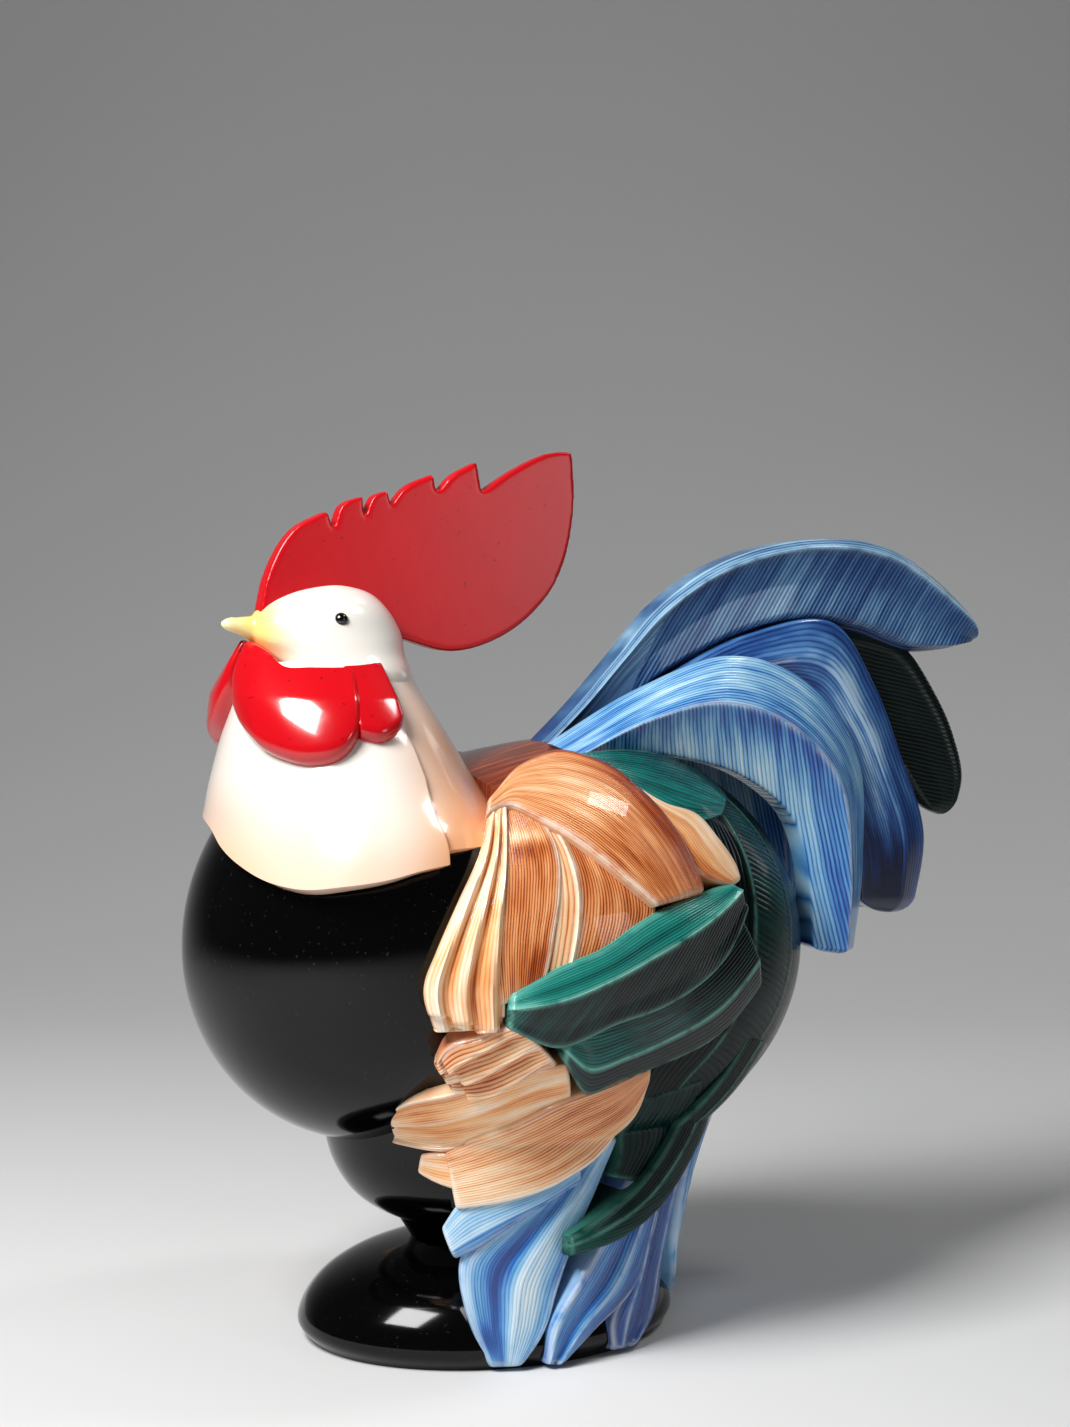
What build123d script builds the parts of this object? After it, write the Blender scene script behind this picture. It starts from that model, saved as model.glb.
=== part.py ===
# Glazed ceramic rooster ornament, hollow body with applied leaves of plumage.
# Millimetres. Origin at the centre of the base underside, the bird faces -Y,
# its left side is +X and +Z is up.
import os
from math import cos, radians, sin, sqrt

from build123d import *

os.makedirs("parts", exist_ok=True)

# Castings: the base, the leg, the thigh and the body
base_half_width = 54.5
base_half_length = 66.0
base_height = 33.0
base_profile = [
    (0.0, 0.94),
    (0.16, 1.0),
    (0.36, 0.975),
    (0.58, 0.89),
    (0.76, 0.755),
    (0.91, 0.55),
    (1.0, 0.28),
]
wall = 6.0
vent_radius = 5.0
vent_back = 27.0
passage_radius = 9.0
leg_axis_y = -7.5
leg_foot_radius = 16.0
leg_foot_height = 20.0
leg_waist_radius = 19.0
leg_waist_height = 32.0
leg_top_radius = 24.0
leg_top_height = 40.0
thigh_radius = 48.5
thigh_rim_height = 70.0
thigh_profile = [
    (leg_top_height, leg_top_radius),
    (44.0, 32.0),
    (49.0, 38.8),
    (58.0, 45.0),
    (thigh_rim_height, thigh_radius),
]
ball_y = -36.0
ball_z = 140.0
ball_radius = 67.0
ball_half_length = 73.0
ball_lean = 35.0
back_height = 187.0
cavity_reach = 0.82
cavity_wall = 7.8
cavity_stations = [0.0, 0.12, 0.3, 0.5, 0.7, 0.88, 1.0]

# Plumage guide: a dome over the flanks and rump that stands on a skirt
dome_y = 5.0
dome_z = 130.0
dome_radius = 80.0
dome_half_length = 110.0
skirt_height = 75.0
skirt_foot_half_length = 64.0
skirt_foot_y = 2.0
front_half_length = 60.0
front_spread = 1.2
plume_gap = 9.0
plume_bite = 3.0

# Neck ruff sections: height, half width, half length, centre y
ruff = [
    (238.0, 20.0, 25.0, -58.0),
    (222.0, 30.0, 29.5, -57.5),
    (208.0, 41.0, 34.5, -54.5),
    (187.0, 54.0, 43.0, -50.5),
    (176.0, 63.0, 47.5, -47.5),
    (156.0, 70.0, 54.5, -48.5),
]
ruff_top = 226.0
neck_inset = 7.0
lappet_lift = 2.0
cape_underlap = 4.0
pad_edge = 1.0
pad_swell = 4.0
pad_swell_top = 232.0
pad_swell_height = 14.0
pad_swell_turn = 30.0

# Head, comb and eyes
head_y = -58.0
head_sections = [
    (226.0, 27.5, 24.0, 6.0),
    (232.0, 23.8, 25.0, 3.0),
    (238.0, 20.5, 26.0, 0.0),
    (247.0, 16.0, 22.0, -1.0),
    (252.5, 9.0, 13.5, 1.0),
    (255.0, 2.5, 4.0, 2.5),
]
beak_rings = [
    (-70.0, 237.0, 11.0),
    (-75.0, 237.7, 8.5),
    (-79.0, 238.8, 6.4),
    (-83.4, 240.4, 4.3),
    (-88.0, 241.4, 2.9),
    (-92.6, 242.0, 1.8),
    (-94.0, 242.0, 0.8),
]
comb_root_thickness = 8.5
comb_rise = 80.0
comb_slope = 88.8
eye_radius = 2.4
eye_y = -58.8
eye_z = 243.4
eye_x = 17.2


def blend(rows, height):
    # Straight interpolation down a list of rows that starts at the highest
    for upper, lower in zip(rows, rows[1:]):
        if height >= lower[0] or lower is rows[-1]:
            share = (height - lower[0]) / (upper[0] - lower[0])
            return [low + share * (high - low) for high, low in zip(upper[1:], lower[1:])]


def ellipse_point(angle, height, half_width, half_length, centre_y):
    turn = radians(angle)
    return Vector(half_width * cos(turn), centre_y + half_length * sin(turn), height)


def plumage_guide(angle, height, lift):
    # Angle 0 is the flank, 90 the tail end and -90 the breast
    if height >= skirt_height:
        share = sqrt(max(0.0, 1 - ((height - dome_z) / dome_radius) ** 2))
        half_width, half_length, centre_y = dome_radius * share, dome_half_length * share, dome_y
    else:
        rim = sqrt(1 - ((skirt_height - dome_z) / dome_radius) ** 2)
        rise = max(0.0, height / skirt_height)
        half_width = dome_radius * rim
        half_length = skirt_foot_half_length + (dome_half_length * rim - skirt_foot_half_length) * rise**2
        centre_y = skirt_foot_y + (dome_y - skirt_foot_y) * rise
    if angle < 0:
        front = front_half_length + front_spread * max(0.0, height - skirt_height)
        half_length = min(half_length, front)
    return ellipse_point(angle, height, half_width + lift, half_length + lift, centre_y)


def ruff_guide(angle, height, lift):
    # Angle 0 is the side of the neck and 90 the throat
    half_width, half_length, centre_y = blend(ruff, height)
    return ellipse_point(-angle, height, half_width + lift, half_length + lift, centre_y)


def pad_guide(angle, height, lift):
    # The red pads swell out of the ruff below the face and away from the throat
    below = min(1.0, max(0.0, (pad_swell_top - height) / pad_swell_height))
    beside = min(1.0, max(0.0, (90 - angle) / pad_swell_turn))
    return ruff_guide(angle, height, lift + pad_swell * below * beside)


def outward(guide, angle, height, lift):
    step = 0.5
    across = guide(angle + step, height, lift) - guide(angle - step, height, lift)
    along = guide(angle, height + step, lift) - guide(angle, height - step, lift)
    away = guide(angle, height, lift + step) - guide(angle, height, lift)
    normal = across.cross(along).normalized()
    return normal if normal.dot(away) >= 0 else -normal


def leaf(guide, edge_a, edge_b, lift, depth, crown):
    # A curved leaf lofted between two edges that lie on a guide surface
    with BuildPart() as piece:
        for (angle_a, height_a), (angle_b, height_b) in zip(edge_a, edge_b):
            start = guide(angle_a, height_a, lift)
            end = guide(angle_b, height_b, lift)
            angle, height = (angle_a + angle_b) / 2, (height_a + height_b) / 2
            up = outward(guide, angle, height, lift)
            chord = end - start
            middle = (start + end) * 0.5
            section = Plane(origin=middle, x_dir=chord, z_dir=chord.cross(up))
            half = chord.length / 2
            rise = (guide(angle, height, lift) - middle).dot(section.y_dir) + crown
            with BuildSketch(section):
                with BuildLine():
                    ThreePointArc((-half, 0), (0, rise), (half, 0))
                    Line((half, 0), (half, -depth))
                    ThreePointArc((half, -depth), (0, rise - depth), (-half, -depth))
                    Line((-half, -depth), (-half, 0))
                make_face()
        loft()
    return piece.part


def seat(piece, *carriers):
    # Cut a piece back to what it is luted onto
    with BuildPart() as seated:
        add(piece)
        for carrier in carriers:
            add(carrier, mode=Mode.SUBTRACT)
    solids = seated.part.solids().sort_by(SortBy.VOLUME)
    return Part() + solids[-1]


def keep(piece, name):
    piece.label = name
    export_step(piece, f"parts/{name}.step")


def keep_pair(piece, name):
    keep(piece, f"{name}_left")
    keep(mirror(piece, about=Plane.YZ), f"{name}_right")


def stacked_ellipses(rows):
    with BuildPart() as form:
        for height, half_width, half_length, centre_y in rows:
            with BuildSketch(Plane((0, centre_y, height))):
                Ellipse(half_width, half_length)
        loft()
    return form.part


def spheroid(centre_y, centre_z, radius, half_length, lean):
    # A ball stretched along its axis, which leans back from +Z by lean
    with BuildPart() as ball:
        Sphere(radius, rotation=(0, 0, -90))
        scale(by=(1, 1, half_length / radius))
    with BuildPart() as form:
        with Locations(Location((0, centre_y, centre_z), (-lean, 0, 0))):
            add(ball.part)
    return form.part


# Base: a hollow pebble with a vent in its floor
base_rows = [
    (share * base_height, width * base_half_width, width * base_half_length, 0.0)
    for share, width in base_profile
]
base_form = stacked_ellipses(base_rows)
base_cavity_rows = [
    (max(wall, height - wall), half_width - wall, half_length - wall, 0.0)
    for height, half_width, half_length, _ in base_rows[2:-1]
]
base_cavity = stacked_ellipses(base_cavity_rows)
with BuildPart() as base_plinth:
    add(base_form)
    add(base_cavity, mode=Mode.SUBTRACT)
    with Locations((0, vent_back, 0)):
        Cylinder(vent_radius, 3 * wall, mode=Mode.SUBTRACT)
    with Locations((0, leg_axis_y, base_height)):
        Cylinder(passage_radius, 4 * wall, mode=Mode.SUBTRACT)
keep(base_plinth.part, "base_plinth")

# Leg: a flared tube that is open from the base to the thigh
leg_plane = Plane(origin=(0, leg_axis_y, 0), x_dir=(0, 1, 0), z_dir=(1, 0, 0))
leg_axis = Axis((0, leg_axis_y, 0), (0, 0, 1))
with BuildPart() as leg_shank:
    with BuildSketch(leg_plane):
        with BuildLine():
            Line((passage_radius, leg_foot_height), (leg_foot_radius, leg_foot_height))
            Spline(
                (leg_foot_radius, leg_foot_height),
                (leg_waist_radius, leg_waist_height),
                (leg_top_radius, leg_top_height),
            )
            Polyline(
                (leg_top_radius, leg_top_height),
                (passage_radius, leg_top_height),
                (passage_radius, leg_foot_height),
            )
        make_face()
    revolve(axis=leg_axis)
    add(base_form, mode=Mode.SUBTRACT)
keep(leg_shank.part, "leg_shank")

# Body: the breast ball, the rump under the plumage and the neck, one hollow casting
rump_radius = dome_radius - plume_gap
rump_half_length = dome_half_length - plume_gap
ball_form = spheroid(ball_y, ball_z, ball_radius, ball_half_length, ball_lean)
rump_form = spheroid(dome_y, dome_z, rump_radius, rump_half_length, -90)
neck_form = stacked_ellipses(
    [(row[0], row[1] - neck_inset, row[2] - neck_inset, row[3]) for row in ruff[1:5]]
)
with BuildPart() as body_form:
    add(rump_form)
    add(ball_form)
    with Locations((0, ball_y, back_height)):
        Box(
            2 * dome_radius,
            2 * dome_half_length,
            dome_radius,
            align=(Align.CENTER, Align.MIN, Align.MIN),
            mode=Mode.SUBTRACT,
        )
    add(neck_form)


def girth(y):
    # Half width of the body casting at one station along its length
    in_ball = max(0.0, 1 - ((y - ball_y) / ball_radius) ** 2)
    in_rump = max(0.0, 1 - ((y - dome_y) / rump_half_length) ** 2)
    return max(ball_radius * sqrt(in_ball), rump_radius * sqrt(in_rump))


cavity_front = ball_y - cavity_reach * ball_radius
cavity_back = dome_y + cavity_reach * rump_half_length
cavity_roof = back_height - wall
cavity_floor = ball_z - ball_radius + wall
cavity_middle = (cavity_roof + cavity_floor) / 2
with BuildPart() as body_cavity:
    for share in cavity_stations:
        station = cavity_front + share * (cavity_back - cavity_front)
        half_width = girth(station) - cavity_wall
        half_height = min(half_width, cavity_roof - cavity_middle)
        section = Plane(origin=(0, station, cavity_middle), x_dir=(1, 0, 0), z_dir=(0, 1, 0))
        with BuildSketch(section):
            Ellipse(half_width, half_height)
    loft()
with BuildPart() as body_shell:
    add(body_form.part)
    add(body_cavity.part, mode=Mode.SUBTRACT)
    with Locations((0, leg_axis_y, thigh_rim_height)):
        Cylinder(passage_radius, 8 * wall, mode=Mode.SUBTRACT)
keep(body_shell.part, "body_shell")

# Thigh: a bowl on the leg that carries the body
thigh_shoulder = ball_z - ball_radius / 2
with BuildPart() as thigh_form:
    add(stacked_ellipses([(height, radius, radius, leg_axis_y) for height, radius in thigh_profile]))
    with Locations((0, leg_axis_y, thigh_rim_height)):
        Cylinder(
            thigh_radius,
            thigh_shoulder - thigh_rim_height,
            align=(Align.CENTER, Align.CENTER, Align.MIN),
        )
    with Locations((0, leg_axis_y, thigh_rim_height)):
        Cylinder(passage_radius, thigh_radius * 2, mode=Mode.SUBTRACT)
thigh_cup = seat(thigh_form.part, body_form.part)
keep(thigh_cup, "thigh_cup")

# Head: a stacked form with the beak drawn out of it
head_form = stacked_ellipses(
    [
        (height, half_width, half_length, head_y + shift)
        for height, half_width, half_length, shift in head_sections
    ]
)
with BuildPart() as beak_form:
    for y, z, radius in beak_rings:
        with BuildSketch(Plane(origin=(0, y, z), x_dir=(1, 0, 0), z_dir=(0, -1, 0))):
            Circle(radius)
    loft()
with BuildPart() as head:
    add(head_form)
    add(beak_form.part)
head_piece = seat(head.part, body_form.part)
keep(head_piece, "head")

# Eyes: a pair of glaze beads set on the head
with BuildPart() as eye_beads:
    with Locations((eye_x, eye_y, eye_z), (-eye_x, eye_y, eye_z)):
        Sphere(eye_radius)
    add(head_piece, mode=Mode.SUBTRACT)
keep(eye_beads.part, "eye_beads")

# Neck ruff: a rear cape and two front lappets on one flared form
pleat = [(-45.6, ruff_top), (-45.3, 207.0), (-43.0, 192.0), (-42.8, 168.0)]
cape_hem = [(-46.7, 171.9), (-16.0, 172.5), (2.0, 172.5)]
hem_front = (-98.6, 174.5)
near_edge = [(-55.0, 166.0), (-69.0, 163.0), (-84.0, 160.7), (-92.3, 161.9), (-96.9, 166.2)]
near_hem = [pleat[-1], *near_edge, hem_front]
far_edge = [(-52.0, 168.0), (-63.0, 171.0), (-75.0, 175.5), (-86.0, 178.0), (-94.0, 177.5)]
far_hem = [pleat[-1], *far_edge, hem_front]
ruff_reach = 2 * dome_radius
ruff_rows = [(ruff_top, *blend(ruff, ruff_top))] + ruff[1:]
lappet_rows = [(row[0], row[1] + lappet_lift, row[2] + lappet_lift, row[3]) for row in ruff_rows]


def lappet(hem):
    # One front quarter of the ruff from the pleat to the throat, above a shaped hem
    with BuildPart() as piece:
        add(stacked_ellipses(lappet_rows))
        with BuildSketch(Plane.YZ):
            with BuildLine():
                Spline(*pleat)
                Spline(*hem)
                Polyline(hem[-1], (-ruff_reach, hem[-1][1]), (-ruff_reach, ruff_top), pleat[0])
            make_face()
        extrude(amount=ruff_reach, mode=Mode.INTERSECT)
    return seat(piece.part, body_form.part, head_piece)


hackle_lappet = lappet(near_hem)
far_lappet = mirror(lappet(far_hem), about=Plane.YZ)
keep(hackle_lappet, "hackle_lappet_left")
keep(far_lappet, "hackle_lappet_right")
cape_edge = [(y - cape_underlap, z) for y, z in pleat[:-1]] + cape_hem[:1]
with BuildPart() as cape:
    add(stacked_ellipses(ruff_rows))
    with BuildSketch(Plane.YZ):
        with BuildLine():
            Polyline(*cape_edge)
            Polyline(*cape_hem)
            Polyline(cape_hem[-1], (ruff_reach, cape_hem[-1][1]), (ruff_reach, ruff_top), cape_edge[0])
        make_face()
    extrude(amount=ruff_reach, both=True, mode=Mode.INTERSECT)
neck_cape = seat(cape.part, body_form.part, head_piece, hackle_lappet, far_lappet)
keep(neck_cape, "neck_cape")

# Comb: a toothed slab let into the crown of the head
comb_front = [(-82.0, 244.0), (-78.0, 260.0), (-69.0, 273.5), (-58.0, 279.0)]
comb_notches = [(-55.8, 273.0), (-44.8, 276.3), (-35.5, 280.7), (-18.8, 285.3), (-2.3, 286.2)]
comb_teeth = [
    [(-52.2, 281.5), (-45.5, 284.0)],
    [(-40.8, 284.6), (-36.5, 286.0)],
    [(-30.4, 287.1), (-20.0, 291.8)],
    [(-13.7, 291.1), (-4.0, 296.3)],
]
comb_tip = [(6.7, 292.1), (15.3, 296.7), (24.2, 300.0), (31.6, 300.4)]
comb_back = [(32.4, 291.6), (32.0, 279.5), (25.4, 256.0), (6.5, 238.1), (-13.1, 232.3), (-33.0, 237.0)]
with BuildPart() as comb_form:
    with BuildSketch(Plane.YZ):
        with BuildLine():
            Spline(*comb_front)
            Line(comb_front[-1], comb_notches[0])
            for notch, tooth, following in zip(comb_notches, comb_teeth, comb_notches[1:]):
                Spline(notch, *tooth)
                Line(tooth[-1], following)
            Spline(comb_notches[-1], *comb_tip)
            Spline(comb_tip[-1], *comb_back)
            Line(comb_back[-1], comb_front[0])
        make_face()
    extrude(amount=comb_root_thickness, both=True)
    with BuildSketch(Plane.XZ):
        with Locations((0, ruff_top)):
            Trapezoid(comb_root_thickness, comb_rise, comb_slope, align=(Align.CENTER, Align.MIN))
    extrude(amount=ruff_reach, both=True, mode=Mode.INTERSECT)
comb = seat(comb_form.part, head_piece, neck_cape)
keep(comb, "comb")

# Wattles and ear lobes: swollen pads on the sides of the throat, edges as (angle, height)
# on the ruff from the throat back
pad_lift = lappet_lift + pad_edge
pad_depth = pad_lift + pad_swell + plume_bite
wattle_crown = 2.0
earlobe_crown = 1.0
wattle_top = [(87, 237.0), (74, 236.0), (58, 233.5), (44, 229.0), (27, 228.7), (10, 228.6), (-1, 229.0)]
wattle_foot = [(85, 219.0), (75, 210.0), (63, 204.5), (50.5, 200.8), (36, 199.4), (21.5, 202.6), (8.5, 211.5)]
earlobe_top = [(8, 229.0), (-4, 229.3), (-13, 229.8), (-20, 229.8)]
earlobe_foot = [(12, 208.3), (3, 207.2), (-5.5, 209.0), (-15, 213.0)]
ruff_carriers = [body_form.part, head_piece, hackle_lappet, neck_cape]
wattle_form = leaf(pad_guide, wattle_top, wattle_foot, pad_lift, pad_depth, wattle_crown)
wattle = seat(wattle_form, *ruff_carriers)
earlobe_form = leaf(pad_guide, earlobe_top, earlobe_foot, pad_lift, pad_depth, earlobe_crown)
earlobe = seat(earlobe_form, *ruff_carriers, wattle)
keep_pair(wattle, "wattle")
keep_pair(earlobe, "earlobe")

# Flank plumage, listed from the top layer down: edges on the plumage guide as
# (angle, height) from root to tip, and the pieces that lie over each one
flank = {
    "wing_band": dict(
        edge_a=[(-21, 188), (-12, 198), (2, 202), (15, 198), (19, 189), (21, 176), (21.5, 156)],
        edge_b=[(-21, 183), (-15.5, 185), (-10, 181), (-4, 175), (1, 168), (5, 161), (9.5, 153)],
        lift=6,
        under=[],
    ),
    "wing_flap": dict(
        edge_a=[(19, 190), (24, 184), (31, 180), (32.5, 172), (33.5, 164), (33, 158)],
        edge_b=[(15, 188), (17, 181), (18.5, 173), (19.5, 166), (22, 161), (29, 156)],
        lift=4.5,
        under=["wing_band"],
    ),
    "front_fold": dict(
        edge_a=[(-20.5, 186), (-22, 172), (-25, 159), (-28.5, 142), (-30.5, 130), (-29, 115)],
        edge_b=[(-16.5, 187), (-16.5, 169), (-17, 154), (-17, 142), (-17, 130), (-17, 116)],
        lift=5,
        under=["wing_band"],
        beside=[hackle_lappet, neck_cape],
    ),
    "upper_secondary": dict(
        edge_a=[(-16.5, 128), (-8, 136), (-0.5, 141), (7, 148.5), (16, 154), (29, 158)],
        edge_b=[(-17, 117), (-8.5, 109.5), (2.5, 116), (11, 120), (22, 130), (33, 149)],
        lift=4,
        under=["wing_band", "wing_flap", "front_fold"],
    ),
    "front_covert": dict(
        edge_a=[(-20, 188), (-19, 170), (-19, 155), (-19, 140), (-18, 124)],
        edge_b=[(-11, 188), (-6.5, 172), (-7, 159), (-8.5, 147), (-10.5, 130)],
        lift=3,
        under=["wing_band", "front_fold", "upper_secondary"],
    ),
    "middle_covert": dict(
        edge_a=[(-12, 186), (-9, 172), (-9, 161), (-10, 149), (-12, 130)],
        edge_b=[(-2, 182), (6, 171), (10, 161), (11, 153), (9, 144)],
        lift=2,
        under=["wing_band", "front_covert", "upper_secondary"],
    ),
    "lower_secondary": dict(
        edge_a=[(-6.5, 115), (-2.5, 118), (5, 121), (13, 126), (21, 135), (31, 147)],
        edge_b=[(-8, 106.5), (-2.5, 93.5), (5, 96), (12, 99.5), (24, 106), (36, 122)],
        lift=2,
        under=["upper_secondary"],
    ),
    "green_leaf": dict(
        edge_a=[(12, 200), (36, 200), (54, 197), (62, 190), (56, 183)],
        edge_b=[(11, 195), (17, 187), (21, 180), (29, 177), (42, 178)],
        lift=2,
        under=["wing_band", "wing_flap"],
    ),
    "green_sickle": dict(
        edge_a=[(38, 104), (33, 86), (27, 69), (19, 58), (8, 50), (-1.5, 44)],
        edge_b=[(53, 98), (48, 79), (41, 62), (31, 49.5), (15, 40.5), (-1, 37.5)],
        lift=3.5,
        under=["lower_secondary"],
    ),
    "tail_covert": dict(
        edge_a=[(60, 196), (76, 188), (83, 172), (84, 152), (84, 132), (82, 112), (76, 95), (56, 84)],
        edge_b=[(34, 184), (35, 178), (32, 170), (28, 158), (24, 144), (21, 126), (16, 108), (10, 96)],
        lift=0.4,
        under=["wing_flap", "green_leaf", "upper_secondary", "lower_secondary", "green_sickle"],
    ),
    "thigh_sweep": dict(
        edge_a=[(11, 100), (1, 94), (-8, 90), (-20, 82), (-32, 76), (-40, 72)],
        edge_b=[(11.5, 95), (12, 79), (6.5, 69), (-5, 61.5), (-19, 57), (-36, 54)],
        lift=3,
        under=["lower_secondary", "tail_covert"],
    ),
    "thigh_tuft": dict(
        edge_a=[(-15, 119), (-22, 114), (-28, 110), (-33, 102)],
        edge_b=[(-8.5, 104), (-16, 97), (-24, 92), (-32, 92)],
        lift=3.5,
        under=["front_fold", "upper_secondary", "lower_secondary", "thigh_sweep"],
    ),
    "thigh_plane": dict(
        edge_a=[(-6, 104), (-15, 101), (-24, 97), (-33, 93), (-43, 90), (-52, 85)],
        edge_b=[(-4, 88), (-12, 84), (-20, 79), (-29, 75), (-40, 72), (-60, 73)],
        lift=1,
        under=["thigh_tuft", "thigh_sweep", "lower_secondary"],
    ),
    "thigh_tip": dict(
        edge_a=[(-28, 73), (-38, 72), (-44, 71.5), (-49, 70.5)],
        edge_b=[(-31, 58.5), (-39.5, 60.4), (-44.5, 62), (-50, 64.4)],
        lift=0,
        under=["thigh_sweep", "thigh_plane"],
    ),
    "green_block": dict(
        edge_a=[(12, 88), (12, 79), (13, 70), (12, 61)],
        edge_b=[(28, 92), (31, 82), (34, 71), (25, 56)],
        lift=1,
        under=["tail_covert", "lower_secondary", "thigh_sweep", "green_sickle"],
    ),
    "skirt_flap": dict(
        edge_a=[(2, 70), (-10, 63), (-23, 60), (-34, 57), (-41, 47)],
        edge_b=[(3, 60), (-8, 54), (-19, 47.5), (-28, 41), (-36.5, 37)],
        lift=0.5,
        under=["thigh_sweep"],
    ),
    "skirt_front": dict(
        edge_a=[(4, 72), (-10, 58), (-24, 48), (-35, 37), (-32, 18), (-24, 1.5)],
        edge_b=[(14, 74), (10, 58), (4, 42), (-1.5, 26), (-6, 12), (-13.5, 1.5)],
        lift=-1,
        under=["skirt_flap", "thigh_sweep", "green_block", "green_sickle"],
    ),
    "skirt_middle": dict(
        edge_a=[(20, 66), (12, 44), (3, 28), (-4.5, 14), (-6, 2)],
        edge_b=[(34, 62), (34, 40), (27, 22), (12, 11), (0.5, 1)],
        lift=0.5,
        under=["skirt_front", "green_block", "green_sickle", "thigh_sweep"],
    ),
    "skirt_rear": dict(
        edge_a=[(32, 70), (30, 46), (25, 24), (18, 12), (19, 2)],
        edge_b=[(52, 70), (48, 44), (45, 26), (42, 10), (30, 1)],
        lift=-0.6,
        under=["skirt_middle", "green_block", "green_sickle", "tail_covert"],
    ),
}
# The far flap is shorter and stops behind the leg
far_flap = dict(
    edge_a=[(2, 70), (-3, 66), (-7, 63), (-11, 60)],
    edge_b=[(3, 60), (-1, 56.5), (-4.5, 53), (-8, 50)],
    lift=flank["skirt_flap"]["lift"],
    under=flank["skirt_flap"]["under"],
)


def lay(plan, extra_depth=0.0):
    depth = plan["lift"] + plume_gap + plume_bite + extra_depth
    return leaf(plumage_guide, plan["edge_a"], plan["edge_b"], plan["lift"], depth, 0)


def bed(plan, cutters):
    # One leaf, cut back to the leaves over it and to the castings that carry it
    covers = [cutters[cover] for cover in plan["under"]] + plan.get("beside", [])
    return seat(lay(plan), *covers, body_form.part, thigh_cup, base_plinth.part)


cutters = {name: lay(plan, plume_bite) for name, plan in flank.items()}
far_cutters = {**cutters, "skirt_flap": lay(far_flap, plume_bite)}
left = {name: bed(plan, cutters) for name, plan in flank.items()}
far = {"skirt_flap": bed(far_flap, far_cutters), "skirt_front": bed(flank["skirt_front"], far_cutters)}
for name, piece in left.items():
    keep(piece, f"{name}_left")
    keep(mirror(far.get(name, piece), about=Plane.YZ), f"{name}_right")

# Tail: upright blades whose outer and inner edges are given as (y, z) from root to tip
crest_thickness = 17.0
dark_thickness = 8.0
rear_near = 14.0
rear_shoulder = 9.0
rear_far = 4.3
side_ridge = 31.0
side_near = 26.0
side_shoulder = 19.0
side_far = 14.6
lens = [(-1, -0.6), (-0.78, -1), (0.7, -0.9), (1, -0.35), (1, 0.35), (0.7, 0.9), (-0.78, 1), (-1, 0.6)]


def blade(outer, inner, profile):
    # Loft of flat sections: profile gives each corner as a share of the half chord and an x
    with BuildPart() as piece:
        for (outer_y, outer_z), (inner_y, inner_z) in zip(outer, inner):
            start, end = Vector(0, outer_y, outer_z), Vector(0, inner_y, inner_z)
            chord = end - start
            section = Plane(origin=(start + end) * 0.5, x_dir=chord, z_dir=chord.cross(Vector(1, 0, 0)))
            with BuildSketch(section):
                Polygon(*[(share * chord.length / 2, x) for share, x in profile], align=None)
        loft()
    return piece.part


crest_form = blade(
    [(17, 199), (33, 214), (49, 231), (64, 247), (90, 263), (125, 271), (159, 268), (187, 251), (202, 236)],
    [(32, 194), (46, 206), (60, 219), (78, 228), (99, 236), (120, 240), (145, 237), (170, 230), (196, 232)],
    [(share, x * crest_thickness / 2) for share, x in lens],
)
side_form = blade(
    [(16, 201), (50, 219), (86, 230), (117, 220), (138, 193), (140, 154), (136, 122)],
    [(26, 193), (46, 197), (64, 195), (85, 189), (105, 175), (113, 155), (115, 125)],
    [(-1, side_far), (-1, side_shoulder), (-0.1, side_ridge), (1, side_near), (1, side_far)],
)
rear_form = blade(
    [(40, 208), (66, 223), (98, 235.5), (131, 238.5), (150, 218), (163, 192), (173, 164), (168, 133)],
    [(52, 198), (74, 206), (96, 207), (115, 201), (127, 188), (136, 172), (141, 156), (143, 137)],
    [(-1, rear_far), (-1, rear_shoulder), (-0.3, rear_near), (1, rear_near), (1, rear_far)],
)
dark_form = blade(
    [(110, 234), (148, 234), (171, 229), (181, 216), (190, 199), (194, 182), (190, 169)],
    [(100, 214), (128, 212), (146, 205), (155, 196), (164, 186), (172, 177), (181, 169)],
    [(share, x * dark_thickness / 2) for share, x in lens],
)
plumes = [cutters[name] for name in ("wing_band", "green_leaf", "tail_covert")]
crest_sickle = seat(crest_form, body_form.part)
side_sickle = seat(side_form, crest_form, *plumes, body_form.part)
rear_sickle = seat(rear_form, crest_form, *plumes, body_form.part)
rear_mirror = mirror(rear_sickle, about=Plane.YZ)
dark_sickle = seat(dark_form, body_form.part, crest_sickle, rear_sickle, rear_mirror)
keep(crest_sickle, "crest_sickle")
keep(dark_sickle, "dark_sickle")
keep_pair(rear_sickle, "rear_sickle")
keep_pair(side_sickle, "side_sickle")

# Saddle: the bare back between the wings, from the cape to the tail roots
saddle_half_width = 46.0
saddle_rows = [(-14.0, 193.0, 186.0), (4.0, 198.5, 193.0), (24.0, 200.0, 194.0), (46.0, 196.0, 190.0)]
with BuildPart() as saddle_form:
    for y, crown_z, edge_z in saddle_rows:
        with BuildSketch(Plane(origin=(0, y, 0), x_dir=(1, 0, 0), z_dir=(0, -1, 0))):
            with BuildLine():
                ThreePointArc((-saddle_half_width, edge_z), (0, crown_z), (saddle_half_width, edge_z))
                Polyline(
                    (saddle_half_width, edge_z),
                    (saddle_half_width, back_height - wall),
                    (-saddle_half_width, back_height - wall),
                    (-saddle_half_width, edge_z),
                )
            make_face()
    loft()
around_saddle = [left[name] for name in ("wing_band", "front_fold", "front_covert", "green_leaf")]
around_saddle.append(side_sickle)
back_saddle = seat(
    saddle_form.part,
    body_form.part,
    neck_cape,
    crest_sickle,
    *around_saddle,
    *[mirror(piece, about=Plane.YZ) for piece in around_saddle],
)
keep(back_saddle, "back_saddle")

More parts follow.
